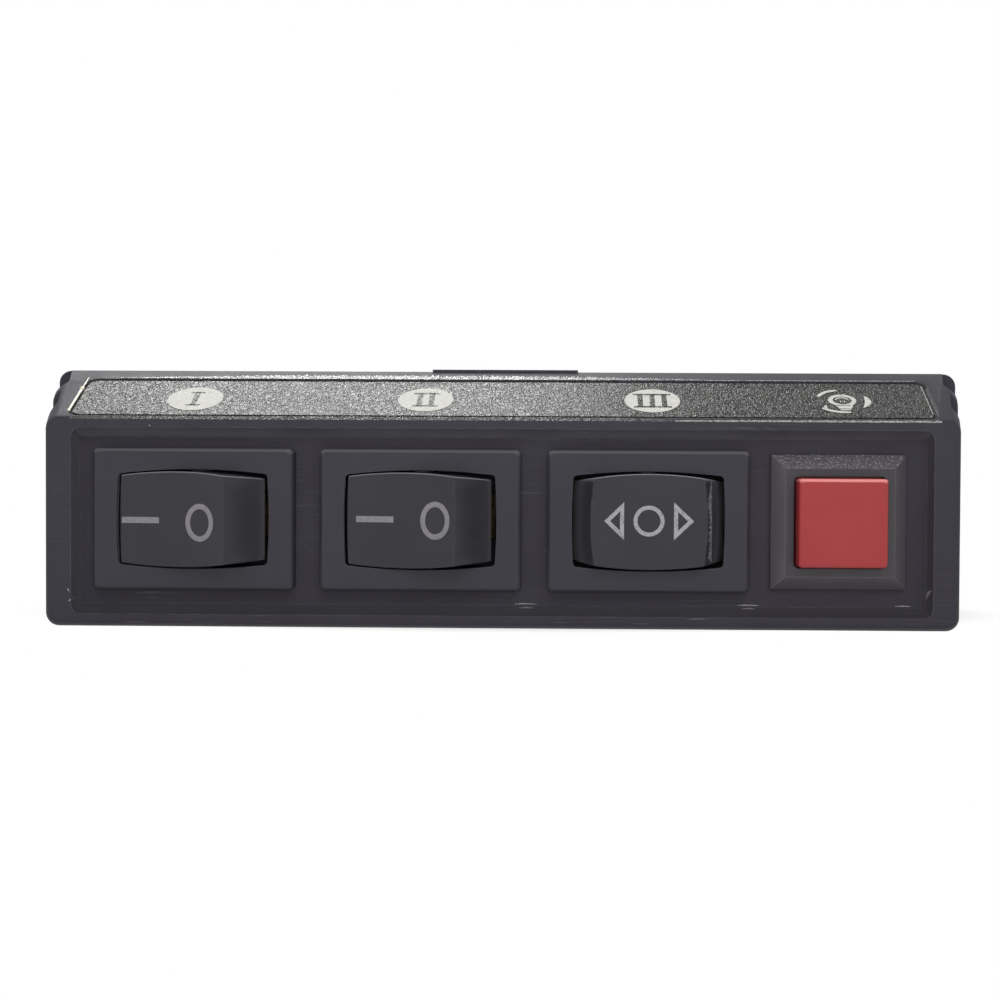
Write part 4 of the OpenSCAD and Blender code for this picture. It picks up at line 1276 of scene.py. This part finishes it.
@dataclass
class Studio:
    """Camera, lamps, ground and background. The lamp beside the camera shows in no reflection."""

    place: Triple = (7.14, -200.70, 17.80)
    yaw: float = 0.98
    pitch: float = -1.39
    roll: float = 0.29
    lens: float = 62.0
    sensor_w: float = 36.0
    shift: float = -0.04
    panel_middle: Triple = (0.0, -20.0, 12.0)
    near_lamp_back: float = 12.0
    near_lamp_size: Pair = (44.0, 44.0)
    near_lamp_power: float = 0.16
    background_light: float = 0.46
    ground_r: float = 3.0
    ground_squeeze: float = 0.45
    fade_from: float = 20.0
    fade_to: float = 26.0
    fade_start: float = 0.6

    def camera(self) -> None:
        """Stand the camera where the panel was seen from."""
        data = bpy.data.cameras.new("camera")
        data.lens = self.lens
        data.sensor_width = self.sensor_w
        data.shift_x = self.shift
        data.clip_start = 0.01
        data.clip_end = 20.0
        made = bpy.data.objects.new("camera", data)
        bpy.context.scene.collection.objects.link(made)
        yaw, pitch, roll = (math.radians(a) for a in (self.yaw, self.pitch, self.roll))
        forward = Vector((-math.sin(yaw) * math.cos(pitch), math.cos(yaw) * math.cos(pitch),
                          math.sin(pitch)))
        level = forward.cross(Vector((0.0, 0.0, 1.0))).normalized()
        upright = level.cross(forward)
        right = level * math.cos(roll) + upright * math.sin(roll)
        up = upright * math.cos(roll) - level * math.sin(roll)
        turn = Matrix((right, up, -forward)).transposed().to_4x4()
        made.matrix_world = Matrix.Translation(Vector(self.place) * MM) @ turn
        bpy.context.scene.camera = made

    def world(self) -> None:
        """Make the background white to the eye and in reflections, and dimmer as light."""
        world = bpy.data.worlds.new("studio white")
        bpy.context.scene.world = world
        world.use_nodes = True
        tree = world.node_tree
        tree.nodes.clear()
        output = tree.nodes.new("ShaderNodeOutputWorld")
        background = tree.nodes.new("ShaderNodeBackground")
        background.inputs["Color"].default_value = WHITE
        path = tree.nodes.new("ShaderNodeLightPath")
        seen = path.outputs["Is Camera Ray"]
        for ray in ("Is Glossy Ray", "Is Transmission Ray"):
            either = tree.nodes.new("ShaderNodeMath")
            either.operation = "MAXIMUM"
            tree.links.new(seen, either.inputs[0])
            tree.links.new(path.outputs[ray], either.inputs[1])
            seen = either.outputs[0]
        strength = tree.nodes.new("ShaderNodeMapRange")
        strength.inputs["To Min"].default_value = self.background_light
        strength.inputs["To Max"].default_value = 1.0
        tree.links.new(seen, strength.inputs["Value"])
        tree.links.new(strength.outputs["Result"], background.inputs["Strength"])
        tree.links.new(background.outputs["Background"], output.inputs["Surface"])

    def ground(self) -> None:
        """Lay a wide pale ground that fades to white away from the panel."""
        bm = bmesh.new()
        bmesh.ops.create_circle(bm, cap_ends=True, radius=self.ground_r, segments=96)
        mesh = bpy.data.meshes.new("ground")
        bm.to_mesh(mesh)
        bm.free()
        made = bpy.data.objects.new("ground", mesh)
        bpy.context.scene.collection.objects.link(made)
        s = NodeSketch("ground")
        squeezed = s.mapped(s.point, (self.ground_squeeze, 1.0, 1.0))
        away = s.add("ShaderNodeVectorMath", {0: squeezed}, operation="LENGTH").outputs["Value"]
        path = s.add("ShaderNodeLightPath").outputs
        seen = s.math("MAXIMUM", path["Is Camera Ray"], path["Is Glossy Ray"])
        white = s.both(s.ramp(away, self.fade_from, self.fade_to, self.fade_start, 1.0), seen)
        s.finish((0.8, 0.8, 0.8), 0.9, Specular_IOR_Level=0.1)
        glow = s.add("ShaderNodeEmission", {"Color": WHITE, "Strength": 1.0})
        blend = s.add("ShaderNodeMixShader", {"Fac": white, 1: s.shader.outputs["BSDF"],
                                              2: glow.outputs["Emission"]})
        s.tree.links.new(blend.outputs["Shader"], s.output.inputs["Surface"])
        mesh.materials.append(s.material)

    def build(self) -> None:
        """Set the studio up."""
        bpy.context.scene.view_settings.view_transform = "Standard"
        self.camera()
        self.world()
        self.ground()
        x, y, z = self.place
        lamps = (Lamp("key above behind", (-54.0, 150.0, 224.0), (-16.0, -17.0, 24.0), (136.0, 95.0), 0.66),
                 Lamp("fill in front", (60.0, -330.0, 220.0), self.panel_middle, (260.0, 160.0), 0.30),
                 Lamp("beside the camera", (x, y - self.near_lamp_back, z), self.panel_middle,
                      self.near_lamp_size, self.near_lamp_power, mirrored=False))
        for lamp in lamps:
            lamp.stand()


def dress_nodes(nodes: dict[str, bpy.types.Object]) -> None:
    """Give every construction piece its slot's finish.

    Args:
        nodes: The construction pieces by name.
    """
    slots = {"front_housing": Slot.HOUSING, "rear_cover": Slot.HOUSING, "cover_screws": Slot.SCREW,
             "cable_grommet": Slot.GROMMET, "label_strip": Slot.LABEL, "button_case": Slot.BUTTON_BEZEL,
             "button_cap": Slot.RED_CAP, "button_base": Slot.BASE, "button_bridge": Slot.CONTACT}
    endings = {"_case": Slot.BEZEL, "_rocker": Slot.ROCKER, "_plunger": Slot.PLUNGER,
               "_spring": Slot.SPRING, "_blade": Slot.CONTACT, "_terminal": Slot.CONTACT}
    for name, node in nodes.items():
        slot = slots.get(name) or next(s for end, s in endings.items() if name.endswith(end))
        node.data.materials.clear()
        node.data.materials.append(Workshop.materials[slot])
        log.info("%s: finished as %s", name, slot.value)


def main() -> None:
    """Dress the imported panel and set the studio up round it."""
    logging.basicConfig(level=logging.INFO, format="%(message)s")
    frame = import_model()
    Workshop.open()
    dress_nodes(frame["nodes"])
    Studio().build()
    Housing().build()
    switches = (RockerSwitch(1, Marks.ON_OFF, GREY_SIGN),
                RockerSwitch(2, Marks.ON_OFF, GREY_SIGN, bar=(4.0, 0.64), bar_at=(-3.06, 0.1),
                             oval_at=(3.66, 0.05)),
                RockerSwitch(3, Marks.THREE_WAY, PALE_SIGN, ridge_highlight_at=6.55))
    for switch in switches:
        switch.build()
    PushButton(next(j for j in frame["joints"] if j["name"] == "button_press")).build()
    LabelPrints().build()
    bpy.context.view_layer.update()


if __name__ == "__main__":
    main()
